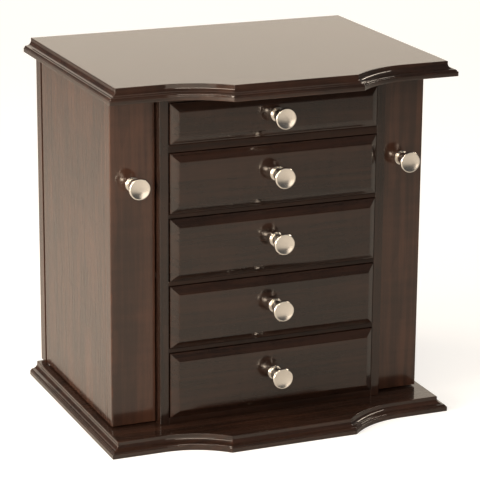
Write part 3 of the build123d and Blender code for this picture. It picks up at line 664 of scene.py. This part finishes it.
WOOD_NOISE = {    # waves per metre along and across the grain, detail and roughness
    "bend": (3.5, 16, 3.0, 0.5),
    "streaks": (3, 110, 6.0, 0.62),
    "fibres": (22, 1500, 3.0, 0.6),
    "clouds": (9, 26, 2.0, 0.5),
    "ripple": (95, 14, 1.0, 0.4),
    "dashes": (130, 2600, 1.0, 0.5),
}
PITH = (0.11, 0.06)               # how far the first board lies from the pith, across and through


def wood_figure_group():
    """Growth rings, streaks, ripple and pores of a board, from its place in the tree.

    The first coordinate runs along the grain. Rings are the distance from the pith, bent by slow
    noise, over the ring spacing; the others are noise drawn out along the grain.
    """
    group, given, out = new_group(
        "Wood figure",
        {"Vector": "Vector", "Light": "Color", "Dark": "Color", "Ring spacing": "Float",
         "Ripple": "Float", "Pores": "Float"},
        {"Color": "Color", "Roughness": "Float", "Height": "Float"})
    place = given["Vector"]
    apart = add_node(group, "SeparateXYZ", {0: place}).outputs
    noise = {name: stretched_noise(group, place, (along, across, across), detail, roughness)
             for name, (along, across, detail, roughness) in WOOD_NOISE.items()}
    fibres = noise["fibres"]
    radial = add_node(group, "CombineXYZ", {"Y": maths(group, "ADD", apart[1], PITH[0]),
                                            "Z": maths(group, "ADD", apart[2], PITH[1])}).outputs[0]
    pith = add_node(group, "VectorMath", {0: radial}, operation="LENGTH").outputs["Value"]
    pith = maths(group, "MULTIPLY_ADD", noise["bend"], 0.055, pith)
    phase = maths(group, "FRACT", maths(group, "DIVIDE", pith, given["Ring spacing"]))
    late = maths(group, "MULTIPLY", remap(group, phase, 0.25, 0.9), remap(group, phase, 1.0, 0.93))
    pores = maths(group, "MULTIPLY", remap(group, noise["dashes"], 0.61, 0.7), given["Pores"])
    light = maths(group, "MULTIPLY", remap(group, noise["streaks"], 0.36, 0.66), 0.42)
    light = maths(group, "MULTIPLY_ADD", remap(group, noise["clouds"], 0.3, 0.7), 0.4, light)
    light = maths(group, "SUBTRACT", light, maths(group, "MULTIPLY", late, 0.16))
    rippled = maths(group, "MULTIPLY", maths(group, "SUBTRACT", noise["ripple"], 0.5), given["Ripple"])
    light = maths(group, "ADD", light, rippled)
    light = maths(group, "MULTIPLY_ADD", maths(group, "SUBTRACT", fibres, 0.5), 0.3, light)
    light = maths(group, "SUBTRACT", light, maths(group, "MULTIPLY", pores, 0.35))
    light = remap(group, light, -0.25, 1.05)
    join(group, out, Color=blend(group, light, given["Dark"], given["Light"]),
         Roughness=remap(group, fibres, 0.3, 0.7, 0.36, 0.52),
         Height=maths(group, "SUBTRACT", maths(group, "MULTIPLY", fibres, 0.5), pores))
    return group


def worn_edge_group():
    """Where the finish is rubbed: the piece's wear, broken up by noise."""
    group, given, out = new_group("Worn edge", {"Vector": "Vector", "Wear": "Float", "Amount": "Float"},
                                  {"Mask": "Float"})
    patches = stretched_noise(group, given["Vector"], (38, 38, 38), 5.0, 0.6)
    reach = maths(group, "MULTIPLY", given["Wear"], remap(group, patches, 0.38, 0.68))
    join(group, out, Mask=maths(group, "MULTIPLY", remap(group, reach, 0.15, 0.9), given["Amount"]))
    return group


def dust_group():
    """Fine dust: the upward part of the surface normal times speckled noise."""
    group, given, out = new_group("Dust", {"Vector": "Vector", "Amount": "Float"}, {"Mask": "Float"})
    normal = add_node(group, "NewGeometry").outputs["Normal"]
    upward = remap(group, add_node(group, "SeparateXYZ", {0: normal}).outputs[2], 0.55, 1.0)
    specks = remap(group, stretched_noise(group, given["Vector"], (420, 420, 420), 4.0, 0.7), 0.5, 0.75)
    settled = maths(group, "MULTIPLY", upward, specks)
    join(group, out, Mask=maths(group, "MULTIPLY", settled, given["Amount"]))
    return group


def pile_group():
    """Short pile: speckled fibres and slow brushed patches, in colour and height."""
    group, given, out = new_group("Pile", {"Vector": "Vector", "Color": "Color"},
                                  {"Color": "Color", "Height": "Float"})
    fibres = stretched_noise(group, given["Vector"], (1700, 1700, 1700), 4.0, 0.75)
    patches = stretched_noise(group, given["Vector"], (24, 24, 24), 3.0, 0.5)
    lint = stretched_noise(group, given["Vector"], (500, 3200, 3200), 2.0, 0.5)
    strength = maths(group, "MULTIPLY_ADD", fibres, 1.0, maths(group, "MULTIPLY_ADD", patches, 0.6, 0.2))
    tint = blend(group, 1.0, given["Color"], strength, "MULTIPLY")
    flecks = maths(group, "MULTIPLY", remap(group, lint, 0.62, 0.75), 0.35)
    join(group, out, Color=blend(group, flecks, tint, opaque(LINT_COLOUR)),
         Height=maths(group, "ADD", fibres, maths(group, "MULTIPLY", lint, 0.5)))
    return group


def brushing_group():
    """Fine lines of a brushed or polished metal, drawn out across one axis, and small handling marks."""
    group, given, out = new_group("Brushing", {"Vector": "Vector", "Lines": "Vector"},
                                  {"Tone": "Float", "Roughness": "Float", "Height": "Float"})
    lines = stretched_noise(group, given["Lines"], (1.0, 1.0, 1.0), 4.0, 0.7)
    marks = stretched_noise(group, given["Vector"], (160, 160, 160), 4.0, 0.6)
    rough = maths(group, "MULTIPLY_ADD", lines, 0.1, maths(group, "MULTIPLY", marks, 0.05))
    join(group, out, Tone=remap(group, lines, 0.25, 0.75, 0.88, 1.0),
         Roughness=maths(group, "ADD", rough, 0.1), Height=lines)
    return group


GROUPS = {}


def group_node(tree, name, inputs):
    """A placed copy of one of the shared groups, which are built once."""
    makers = {"Wood figure": wood_figure_group, "Worn edge": worn_edge_group, "Dust": dust_group,
              "Pile": pile_group, "Brushing": brushing_group}
    if name not in GROUPS:
        GROUPS[name] = makers[name]()
    return add_node(tree, "Group", inputs, node_tree=GROUPS[name]).outputs


# ---- materials ----
MATERIALS = {}


def new_material(name, **constants):
    """A material with its shader's constants set, its node tree and its shader."""
    material = bpy.data.materials.new(name)
    material.use_nodes = True
    tree = material.node_tree
    shader = tree.nodes["Principled BSDF"]
    for label, value in constants.items():
        shader.inputs[label.replace("_", " ").title().replace("Ior", "IOR")].default_value = value
    return material, tree, shader


def own_place(tree):
    """The object's coordinates."""
    return add_node(tree, "TexCoord").outputs["Object"]


def cut_place(tree, grain):
    """Where a board was cut from: its figure attribute, or its own coordinates turned to the grain."""
    if grain == "figure":
        return add_node(tree, "Attribute", attribute_name="figure").outputs["Vector"]
    turns = {"x": (0, 0, 0), "y": (0, 0, -math.pi / 2), "z": (0, math.pi / 2, 0)}
    return add_node(tree, "Mapping", {"Vector": own_place(tree), "Rotation": turns[grain]}).outputs[0]


Timber = namedtuple("Timber", "ring_spacing ripple pores coat coat_roughness")


def wood(name, light, dark, rubbed, grain, timber):
    """Wood under a clear coat, rubbed through to another tone along its edges."""
    settings = bpy.context.scene.chest_finish
    material, tree, shader = new_material(name, coat_roughness=timber.coat_roughness, coat_ior=1.5,
                                          specular_ior_level=0.1)
    here = own_place(tree)
    figure = group_node(tree, "Wood figure", {
        "Vector": cut_place(tree, grain), "Light": opaque(light), "Dark": opaque(dark),
        "Ring spacing": timber.ring_spacing, "Ripple": timber.ripple, "Pores": timber.pores})
    wear = add_node(tree, "Attribute", attribute_name="wear").outputs["Fac"]
    worn = group_node(tree, "Worn edge", {"Vector": here, "Wear": wear, "Amount": settings.wear})["Mask"]
    dust = group_node(tree, "Dust", {"Vector": here, "Amount": settings.dust})["Mask"]
    tone = blend(tree, worn, figure["Color"], opaque(rubbed))
    left = maths(tree, "SUBTRACT", 1.0, maths(tree, "MULTIPLY", worn, 0.5))
    join(tree, shader.inputs, Base_Color=blend(tree, dust, tone, opaque(DUST_COLOUR)),
         Roughness=maths(tree, "ADD", figure["Roughness"], maths(tree, "MULTIPLY", dust, 0.4)),
         Coat_Weight=maths(tree, "MULTIPLY", left, timber.coat))
    bump(tree, shader, figure["Height"], 0.12, 0.2 * MM)
    return material


def stained_wood(grain="figure", gloss=1.0, shade=1.0, polish=0.13):
    """Dark stain under lacquer; gloss is the lacquer's weight, polish its roughness and shade a factor on
    the stain's colour, which on the rails is painted shade.
    """
    settings = bpy.context.scene.chest_finish
    light, dark = ([shade * part for part in tone] for tone in (settings.stain_light, settings.stain_dark))
    rubbed = [min(1.0, 1.5 * part) for part in light]
    return wood(f"Stained wood {grain} {gloss} {shade}", light, dark, rubbed, grain,
                Timber(0.009, 0.4, 0.8, gloss, polish))


def maple(grain="figure"):
    """Pale maple under a thin satin coat."""
    settings = bpy.context.scene.chest_finish
    light = settings.maple_light
    return wood("Maple " + grain, light, settings.maple_dark, [0.8 * part for part in light], grain,
                Timber(0.005, 0.25, 0.3, 0.35, 0.3))


def felt():
    """Felt: soft pile with sheen and no gloss."""
    material, tree, shader = new_material("Felt", roughness=0.95, sheen_weight=0.6, sheen_roughness=0.45,
                                          specular_ior_level=0.15)
    tint = opaque(bpy.context.scene.chest_soft.felt)
    pile = group_node(tree, "Pile", {"Vector": own_place(tree), "Color": tint})
    join(tree, shader.inputs, Base_Color=pile["Color"])
    bump(tree, shader, pile["Height"], 0.5, 0.3 * MM)
    return material


def metal(name, tint, line_scale, extra_roughness, bump_strength, lines_from="Object"):
    """Metal with fine lines, which are scaled along each axis of the coordinates they come from."""
    material, tree, shader = new_material(name, metallic=1.0)
    here = own_place(tree)
    source = here
    if lines_from != "Object":
        source = add_node(tree, "Attribute", attribute_name=lines_from).outputs["Vector"]
    lines = add_node(tree, "Mapping", {"Vector": source, "Scale": line_scale}).outputs[0]
    brushed = group_node(tree, "Brushing", {"Vector": here, "Lines": lines})
    wear = add_node(tree, "Attribute", attribute_name="wear").outputs["Fac"]
    worn = group_node(tree, "Worn edge", {"Vector": here, "Wear": wear, "Amount": 0.5})["Mask"]
    tone = blend(tree, 1.0, opaque(tint), brushed["Tone"], "MULTIPLY")
    rough = maths(tree, "ADD", brushed["Roughness"], extra_roughness)
    join(tree, shader.inputs,
         Base_Color=blend(tree, worn, tone, opaque([min(1.0, 1.15 * part) for part in tint])),
         Roughness=maths(tree, "SUBTRACT", rough, maths(tree, "MULTIPLY", worn, 0.12)))
    bump(tree, shader, brushed["Height"], bump_strength, 0.05 * MM)
    return material


def nickel():
    tint = bpy.context.scene.chest_finish.nickel
    return metal("Brushed nickel", tint, (9000, 9000, 40), 0.04, 0.06, "turning")


def brass():
    return metal("Brass", bpy.context.scene.chest_finish.brass, (800, 800, 800), 0.0, 0.04)


def zinc():
    return metal("Zinc", bpy.context.scene.chest_finish.zinc, (2500, 2500, 2500), 0.12, 0.1)


def dark_steel():
    tint = [0.25 * part for part in bpy.context.scene.chest_finish.zinc]
    return metal("Dark steel", tint, (2500, 2500, 2500), 0.2, 0.1)


FINISHES = {     # the record's slot, the function that makes the finish and what it is given
    "stained": ("stained_wood", stained_wood),
    "stained_z": ("stained_wood", stained_wood, "z"),
    "stained_plate": ("stained_wood", stained_wood, "figure", 1.0, 0.6, 0.06),
    "stained_front": ("stained_wood", stained_wood, "figure", 1.0, 0.4),
    # the rails' stain is darkened to near black: painted shade for the shadow under the drawer fronts that
    # stand proud
    "stained_rail_painted_shade": ("stained_wood", stained_wood, "figure", 0.3, 0.35),
    "maple": ("drawer_wood", maple),
    "maple_x": ("drawer_wood", maple, "x"),
    "felt": ("felt", felt),
    "nickel": ("nickel", nickel),
    "brass": ("hook_metal", brass),
    "zinc": ("zinc_steel", zinc),
    "dark_steel": ("zinc_steel", dark_steel),
}


def finish(name):
    """A material by name, made the first time that it is asked for."""
    if name not in MATERIALS:
        _, maker, *given = FINISHES[name]
        MATERIALS[name] = maker(*given)
    return MATERIALS[name]


def inward(door):
    """1 where a door's inner face looks along +X and -1 where it looks along -X."""
    return 1 if door == "left_door" else -1


def refinish(node, name):
    """Gives a node that stays in sight its material."""
    for slot in frame["nodes"][node].material_slots:
        slot.material = finish(name)


# ---- operators ----
class CHEST_OT_plates(bpy.types.Operator):
    """Moulded top and base"""
    bl_idname = "chest.plates"
    bl_label = "Top and Base"

    def execute(self, context):
        shape = context.scene.chest_plates
        for number, node in enumerate(("top_plate", "base_plate")):
            add_piece(node.replace("plate", "moulded"), [moulded_plate(node, shape)], "stained_plate",
                      "carcass", "x", [node], figure=3 * number)
        return {"FINISHED"}


class CHEST_OT_carcass(bpy.types.Operator):
    """Partitions and shelves with softened edges, trimmed to what shows, and the back board"""
    bl_idname = "chest.carcass"
    bl_label = "Partitions, Shelves and Back"

    def execute(self, context):
        boards = context.scene.chest_boards
        floor, ceiling = span("base_plate")[1][2], span("top_plate")[0][2]
        for number, side in enumerate(("left", "right")):
            node = "partition_" + side
            low, high = between(*span(node), z_low=floor, z_high=ceiling)
            add_piece(node + "_board", [board(low, high, "z", boards.arris)], "stained_front", "carcass",
                      "z", [node], figure=20 + number)
        inner = span("partition_left")[1][0]
        shelves = sorted(name for name in frame["nodes"] if name.startswith("shelf_"))
        for number, node in enumerate(shelves):
            low, high = between(*span(node), x_low=inner, x_high=-inner)
            # the shelves' front edges are the rails between the drawers; their dark stain is painted shade
            add_piece(node + "_board", [board(low, high, "x", boards.arris)], "stained_rail_painted_shade", "carcass",
                      "x", [node], figure=30 + number)
        low, high = span("end_rails")
        top = between(low, high, y_high=low[1] + boards.rail_depth, z_low=high[2] - boards.top_rail)
        bottom = between(low, high, z_high=low[2] + boards.bottom_shelf)
        rails = [board(*corners, "x", boards.arris) for corners in (top, bottom)]
        # the top and bottom rails also take the darkened stain as painted shade
        add_piece("end_rails_boards", rails, "stained_rail_painted_shade", "carcass", "x", ["end_rails"], figure=36)
        refinish("back_board", "stained_z")
        return {"FINISHED"}


class CHEST_OT_drawer_fronts(bpy.types.Operator):
    """Raised and bevelled drawer fronts"""
    bl_idname = "chest.drawer_fronts"
    bl_label = "Drawer Fronts"

    def execute(self, context):
        scene = context.scene
        for number, body in enumerate(DRAWERS):
            node = body + "_front"
            front = raised_front(node, scene.chest_fronts, scene.chest_boards)
            add_piece(body + "_raised_front", [front], "stained_front", body, "x", [node],
                      figure=40 + 2 * number)
        return {"FINISHED"}


class CHEST_OT_drawer_boxes(bpy.types.Operator):
    """Drawer sides and backs with rounded upper edges, and the bottoms and stops"""
    bl_idname = "chest.drawer_boxes"
    bl_label = "Drawer Boxes"

    def execute(self, context):
        boards = context.scene.chest_boards
        wall = boards.drawer_side
        for number, body in enumerate(DRAWERS):
            low, high = span(body + "_box")
            floor = span(body + "_bottom")[1][2]
            left = board(*between(low, high, x_high=low[0] + wall), "y", 3 * boards.arris)
            right = board(*between(low, high, x_low=high[0] - wall), "y", 3 * boards.arris)
            rear = board(*between(low, high, x_low=low[0] + wall, x_high=high[0] - wall,
                                  y_low=high[1] - wall, z_low=floor), "x", 2 * boards.arris)
            add_piece(body + "_sides", [left, right], "maple", body, "y", [body + "_box"],
                      figure=60 + 3 * number)
            add_piece(body + "_back", [rear], "maple", body, "x", figure=62 + 3 * number)
            refinish(body + "_bottom", "maple_x")
        refinish("drawer_stops", "maple_x")
        return {"FINISHED"}


class CHEST_OT_knobs(bpy.types.Operator):
    """Turned nickel knobs"""
    bl_idname = "chest.knobs"
    bl_label = "Knobs"

    def execute(self, context):
        shape = context.scene.chest_knobs
        for body in DRAWERS + DOORS:
            node = body + "_knob"
            low, high = span(node)
            middle = (low + high) / 2
            profile = knob_profile(shape, (high[0] - low[0]) / 2, high[1] - low[1])
            part = turned(profile[:, :2], profile[:, 2], (middle[0], high[1], middle[2]))
            piece = add_piece(body + "_turned_knob", [part], "nickel", body, "x", [node])
            count = len(part.points) // len(profile)
            turning = profile * (1, 1, 0)
            store(piece.data, "turning", "FLOAT_VECTOR", np.repeat(turning, count, axis=0))
        return {"FINISHED"}


class CHEST_OT_doors(bpy.types.Operator):
    """Door strips and panels with softened edges, and the trays inside"""
    bl_idname = "chest.doors"
    bl_label = "Doors"

    def execute(self, context):
        boards = context.scene.chest_boards
        edge, joint = boards.strip_radius, boards.joint_arris
        outer, inner = boards.panel_rear_radius, boards.arris
        for number, body in enumerate(DOORS):
            rear = (inner, outer) if inward(body) > 0 else (outer, inner)
            for part, radii, figure in (("_strip", (edge, edge, joint, joint), 70),
                                        ("_panel", (joint, joint, *rear), 74)):
                node = body + part
                add_piece(node + "_board", [board(*span(node), "z", boards.arris, radii)], "stained",
                          body, "z", [node], figure=figure + number)
            refinish(body + "_tray", "stained_z")
        return {"FINISHED"}


class CHEST_OT_hooks(bpy.types.Operator):
    """Six bent necklace hooks in each door"""
    bl_idname = "chest.hooks"
    bl_label = "Necklace Hooks"

    def execute(self, context):
        shape = context.scene.chest_soft
        for body in DOORS:
            panel = span(body + "_panel")
            low, high = span(body + "_hooks")
            side = inward(body)
            wall, tip = (panel[1][0], high[0]) if side > 0 else (panel[0][0], low[0])
            reach = tip - side * shape.hook_ball - wall
            base_z = low[2] + shape.hook_rose
            rise = high[2] - shape.hook_ball - base_z
            rows = np.linspace(low[1] + shape.hook_rose, high[1] - shape.hook_rose, 6)
            hooks = [bent_rod(*hook_path(wall, reach, y, base_z, shape, rise)) for y in rows]
            add_piece(body + "_wire_hooks", hooks, "brass", body, "z", [body + "_hooks"])
        return {"FINISHED"}


class CHEST_OT_linings(bpy.types.Operator):
    """Felt in the drawers and on the inner faces of the doors"""
    bl_idname = "chest.linings"
    bl_label = "Felt Linings"

    def execute(self, context):
        soft = context.scene.chest_soft
        for body in DRAWERS:
            self.lay(body, span(body + "_lining"), "x", soft.felt_edge, (0, 1), "_bottom",
                     [body + "_lining"])
        margin = 6 * MM
        for body in DOORS:
            low, high = span(body + "_panel")
            wall = high[0] if inward(body) > 0 else low[0]
            x_low, x_high = sorted((wall, wall + inward(body) * soft.door_felt))
            corners = between(low, high, x_low=x_low, x_high=x_high, y_low=low[1] + margin,
                              y_high=high[1] - 4 * margin, z_low=span(body + "_tray")[1][2] + margin,
                              z_high=high[2] - margin)
            self.lay(body, corners, "z", soft.door_felt / 3, (1, 2), "_panel")
        return {"FINISHED"}

    def lay(self, body, corners, along, edge, flat_axes, under, stands_for=()):
        """A felt between two corners."""
        piece = add_piece(body + "_felt", [board(*corners, along, edge)], "felt", body, along, stands_for)


class CHEST_OT_ring_rolls(bpy.types.Operator):
    """Stuffed ring rolls side by side in the top drawer"""
    bl_idname = "chest.ring_rolls"
    bl_label = "Ring Rolls"

    def execute(self, context):
        soft = context.scene.chest_soft
        low, high = span("ring_rolls")
        pitch = (high[1] - low[1]) / soft.roll_count
        rolls = []
        for number in range(soft.roll_count):
            start = low[1] + number * pitch
            corners = between(low, high, y_low=start + soft.roll_gap / 2,
                              y_high=start + pitch - soft.roll_gap / 2)
            rolls.append(soft_roll(*corners, soft, number))
        piece = add_piece("ring_rolls_stuffed", rolls, "felt", "drawer_1", "x", ["ring_rolls"])
        return {"FINISHED"}


class CHEST_OT_divider(bpy.types.Operator):
    """Felt covered strips that part the second drawer"""
    bl_idname = "chest.divider"
    bl_label = "Drawer Divider"

    def execute(self, context):
        boards, soft = context.scene.chest_boards, context.scene.chest_soft
        low, high = span("drawer_2_divider")
        rear = high[1] - boards.divider
        strips = [board(*between(low, high, y_low=rear), "x", soft.felt_edge)]
        for x in (-boards.divider_offset, boards.divider_offset):
            corners = between(low, high, x_low=x - boards.divider / 2, x_high=x + boards.divider / 2,
                              y_high=rear)
            strips.append(board(*corners, "y", soft.felt_edge))
        add_piece("drawer_2_felt_divider", strips, "felt", "drawer_2", "x", ["drawer_2_divider"])
        return {"FINISHED"}


class CHEST_OT_fittings(bpy.types.Operator):
    """Finishes of the screws, pins, magnets and strikes"""
    bl_idname = "chest.fittings"
    bl_label = "Screws and Catches"

    def execute(self, context):
        refinish("pivot_pins", "dark_steel")
        for node in ["assembly_screws"] + [body + "_knob_screw" for body in DRAWERS + DOORS]:
            refinish(node, "zinc")
        low, high = span("catch_magnets")
        discs = [self.disc(low[0], high[0], low, high), self.disc(high[0], low[0], low, high)]
        add_piece("catch_magnet_discs", discs, "zinc", "carcass", "x", ["catch_magnets"])
        for body in DOORS:
            node = body + "_strike"
            low, high = span(node)
            face, back = (high[0], low[0]) if inward(body) > 0 else (low[0], high[0])
            add_piece(body + "_strike_disc", [self.disc(face, back, low, high)], "zinc", body, "x", [node])
        return {"FINISHED"}

    def disc(self, face, back, low, high):
        """A round plate with a rounded edge, standing a hair out of the wood at its face."""
        side = np.sign(face - back)
        middle, radius = (low + high) / 2, (high[2] - low[2]) / 2
        edge, proud, sunk = 0.15 * MM, 0.25 * MM, 1.0 * MM
        bend = edge * np.sin(np.linspace(0, math.pi / 2, 5))
        height = np.concatenate([[-sunk, 0], proud - edge + bend])
        radii = np.concatenate([[radius, radius], radius - edge + bend[::-1]])
        path = np.tile(middle, (len(height), 1))
        path[:, 0] = face + side * height
        return bent_rod(path, radii, 48)


LightPlace = namedtuple("LightPlace", "name azimuth elevation distance width height power")
# Azimuth 0 is in front of the chest, 90 to its right and 180 behind it.
LIGHTS = [
    LightPlace("Overhead", 180, 74, 2.6, 2.4, 1.8, 8),
    LightPlace("Backdrop", 158, 16, 3.4, 3.6, 2.0, 24),
    LightPlace("Left strip", -30, 30, 2.2, 2.2, 0.12, 24),
    LightPlace("Low softbox", -16, 9, 2.6, 2.6, 1.2, 16),
    LightPlace("Far left", -75, 12, 2.8, 1.4, 1.0, 120),
    LightPlace("Right strip", 80, 30, 2.4, 2.2, 0.12, 20),
    LightPlace("Left wall", -110, 45, 3.0, 2.4, 1.6, 55),
]


class CHEST_OT_stage(bpy.types.Operator):
    """Pale floor, soft lights and the camera"""
    bl_idname = "chest.stage"
    bl_label = "Stage"

    def execute(self, context):
        scene, stage = context.scene, context.scene.chest_stage
        target = (CAD_BOX[0] + CAD_BOX[1]) / 2
        self.lay_floor(scene, stage)
        for place in LIGHTS:
            self.hang_light(scene, place, target, stage.warmth)
        self.light_surroundings(scene, stage.sky)
        self.place_camera(scene, stage)
        scene.view_settings.view_transform = "Standard"
        return {"FINISHED"}

    def lay_floor(self, scene, stage):
        """A round floor: rings of radius from the middle to the edge."""
        count, rings, drop = 96, 8, 0.2 * MM
        radii = stage.floor_radius * np.linspace(0, 1, rings + 1)[1:] ** 2
        angle = FULL_TURN * np.arange(count) / count
        x = radii[:, None] * np.cos(angle)
        y = radii[:, None] * np.sin(angle)
        points = np.stack([x, y, np.full_like(x, CAD_BOX[0][2] - drop)], axis=-1).reshape(-1, 3)
        index = np.arange(len(points)).reshape(len(radii), count)
        after = np.roll(index, -1, axis=1)
        faces = np.stack([index[:-1], index[1:], after[1:], after[:-1]], axis=-1).reshape(-1, 4)
        mesh = bpy.data.meshes.new("floor")
        mesh.from_pydata(points.tolist(), [], faces.tolist() + [index[0].tolist()])
        material, tree, shader = new_material("Pale floor", specular_ior_level=0.2)
        speckle = stretched_noise(tree, own_place(tree), (60, 60, 60), 4.0, 0.6)
        darker = [0.985 * part for part in stage.floor]
        seen = add_node(tree, "LightPath").outputs["Is Camera Ray"]
        shader.inputs["Emission Color"].default_value = (1.0, 1.0, 1.0, 1.0)
        join(tree, shader.inputs, Roughness=remap(tree, speckle, 0.2, 0.8, 0.78, 0.9),
             Base_Color=blend(tree, speckle, opaque(stage.floor), opaque(darker)),
             Emission_Strength=maths(tree, "MULTIPLY", seen, stage.floor_lift))
        mesh.materials.append(material)
        floor = bpy.data.objects.new("floor", mesh)
        scene.collection.objects.link(floor)

    def hang_light(self, scene, place, target, warmth):
        data = bpy.data.lights.new(place.name, "AREA")
        data.shape = "RECTANGLE"
        data.size, data.size_y, data.energy = place.width, place.height, place.power
        data.color = warmth
        azimuth, elevation = math.radians(place.azimuth), math.radians(place.elevation)
        back = Vector((math.sin(azimuth) * math.cos(elevation), -math.cos(azimuth) * math.cos(elevation),
                       math.sin(elevation)))
        light = bpy.data.objects.new(place.name, data)
        light.location = target + back * place.distance
        light.rotation_euler = back.to_track_quat("Z", "Y").to_euler()
        light.visible_camera = False
        scene.collection.objects.link(light)

    def light_surroundings(self, scene, strength):
        """A pale surround that the camera sees as white and the chest as a weaker fill."""
        world = bpy.data.worlds.new("Surroundings")
        world.use_nodes = True
        tree = world.node_tree
        background = tree.nodes["Background"]
        background.inputs["Color"].default_value = (1.0, 0.99, 0.975, 1.0)
        seen = add_node(tree, "LightPath").outputs["Is Camera Ray"]
        level = maths(tree, "MULTIPLY_ADD", seen, 1.0 - strength, strength)
        tree.links.new(level, background.inputs["Strength"])
        scene.world = world

    def place_camera(self, scene, stage):
        """The camera's axes follow from its azimuth, pitch and roll."""
        data = bpy.data.cameras.new("camera")
        data.lens = stage.lens
        data.sensor_width = 36.0
        data.clip_end = 50.0
        turn, pitch = stage.azimuth, stage.pitch
        forward = Vector((math.sin(turn) * math.cos(pitch), math.cos(turn) * math.cos(pitch),
                          -math.sin(pitch)))
        level_right = Vector((math.cos(turn), -math.sin(turn), 0.0))
        level_up = level_right.cross(forward)
        right = level_right * math.cos(stage.roll) + level_up * math.sin(stage.roll)
        axes = Matrix((right, right.cross(forward), -forward)).transposed()
        camera = bpy.data.objects.new("camera", data)
        camera.matrix_world = Matrix.Translation(stage.place) @ axes.to_4x4()
        scene.collection.objects.link(camera)
        scene.camera = camera


OPERATORS = [CHEST_OT_plates, CHEST_OT_carcass, CHEST_OT_drawer_fronts, CHEST_OT_drawer_boxes,
             CHEST_OT_knobs, CHEST_OT_doors, CHEST_OT_hooks, CHEST_OT_linings, CHEST_OT_ring_rolls,
             CHEST_OT_divider, CHEST_OT_fittings, CHEST_OT_stage]
SETTINGS = {"chest_plates": ChestPlates, "chest_boards": ChestBoards, "chest_fronts": ChestFronts,
            "chest_knobs": ChestKnobs, "chest_soft": ChestSoft, "chest_finish": ChestFinish,
            "chest_stage": ChestStage}


class CHEST_PT_panel(bpy.types.Panel):
    """Lists the steps that dress the chest"""
    bl_idname = "CHEST_PT_panel"
    bl_label = "Jewellery Chest"
    bl_space_type = "VIEW_3D"
    bl_region_type = "UI"
    bl_category = "Jewellery Chest"

    def draw(self, context):
        for operator in OPERATORS:
            self.layout.operator(operator.bl_idname)


def register():
    for kind in [*SETTINGS.values(), *OPERATORS, CHEST_PT_panel]:
        bpy.utils.register_class(kind)
    for name, kind in SETTINGS.items():
        setattr(bpy.types.Scene, name, bpy.props.PointerProperty(type=kind))


def unregister():
    for name in SETTINGS:
        delattr(bpy.types.Scene, name)
    for kind in reversed([*SETTINGS.values(), *OPERATORS, CHEST_PT_panel]):
        bpy.utils.unregister_class(kind)


def main():
    """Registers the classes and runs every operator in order."""
    register()
    for operator in OPERATORS:
        family, name = operator.bl_idname.split(".")
        getattr(getattr(bpy.ops, family), name)()


if __name__ == "__main__":
    main()
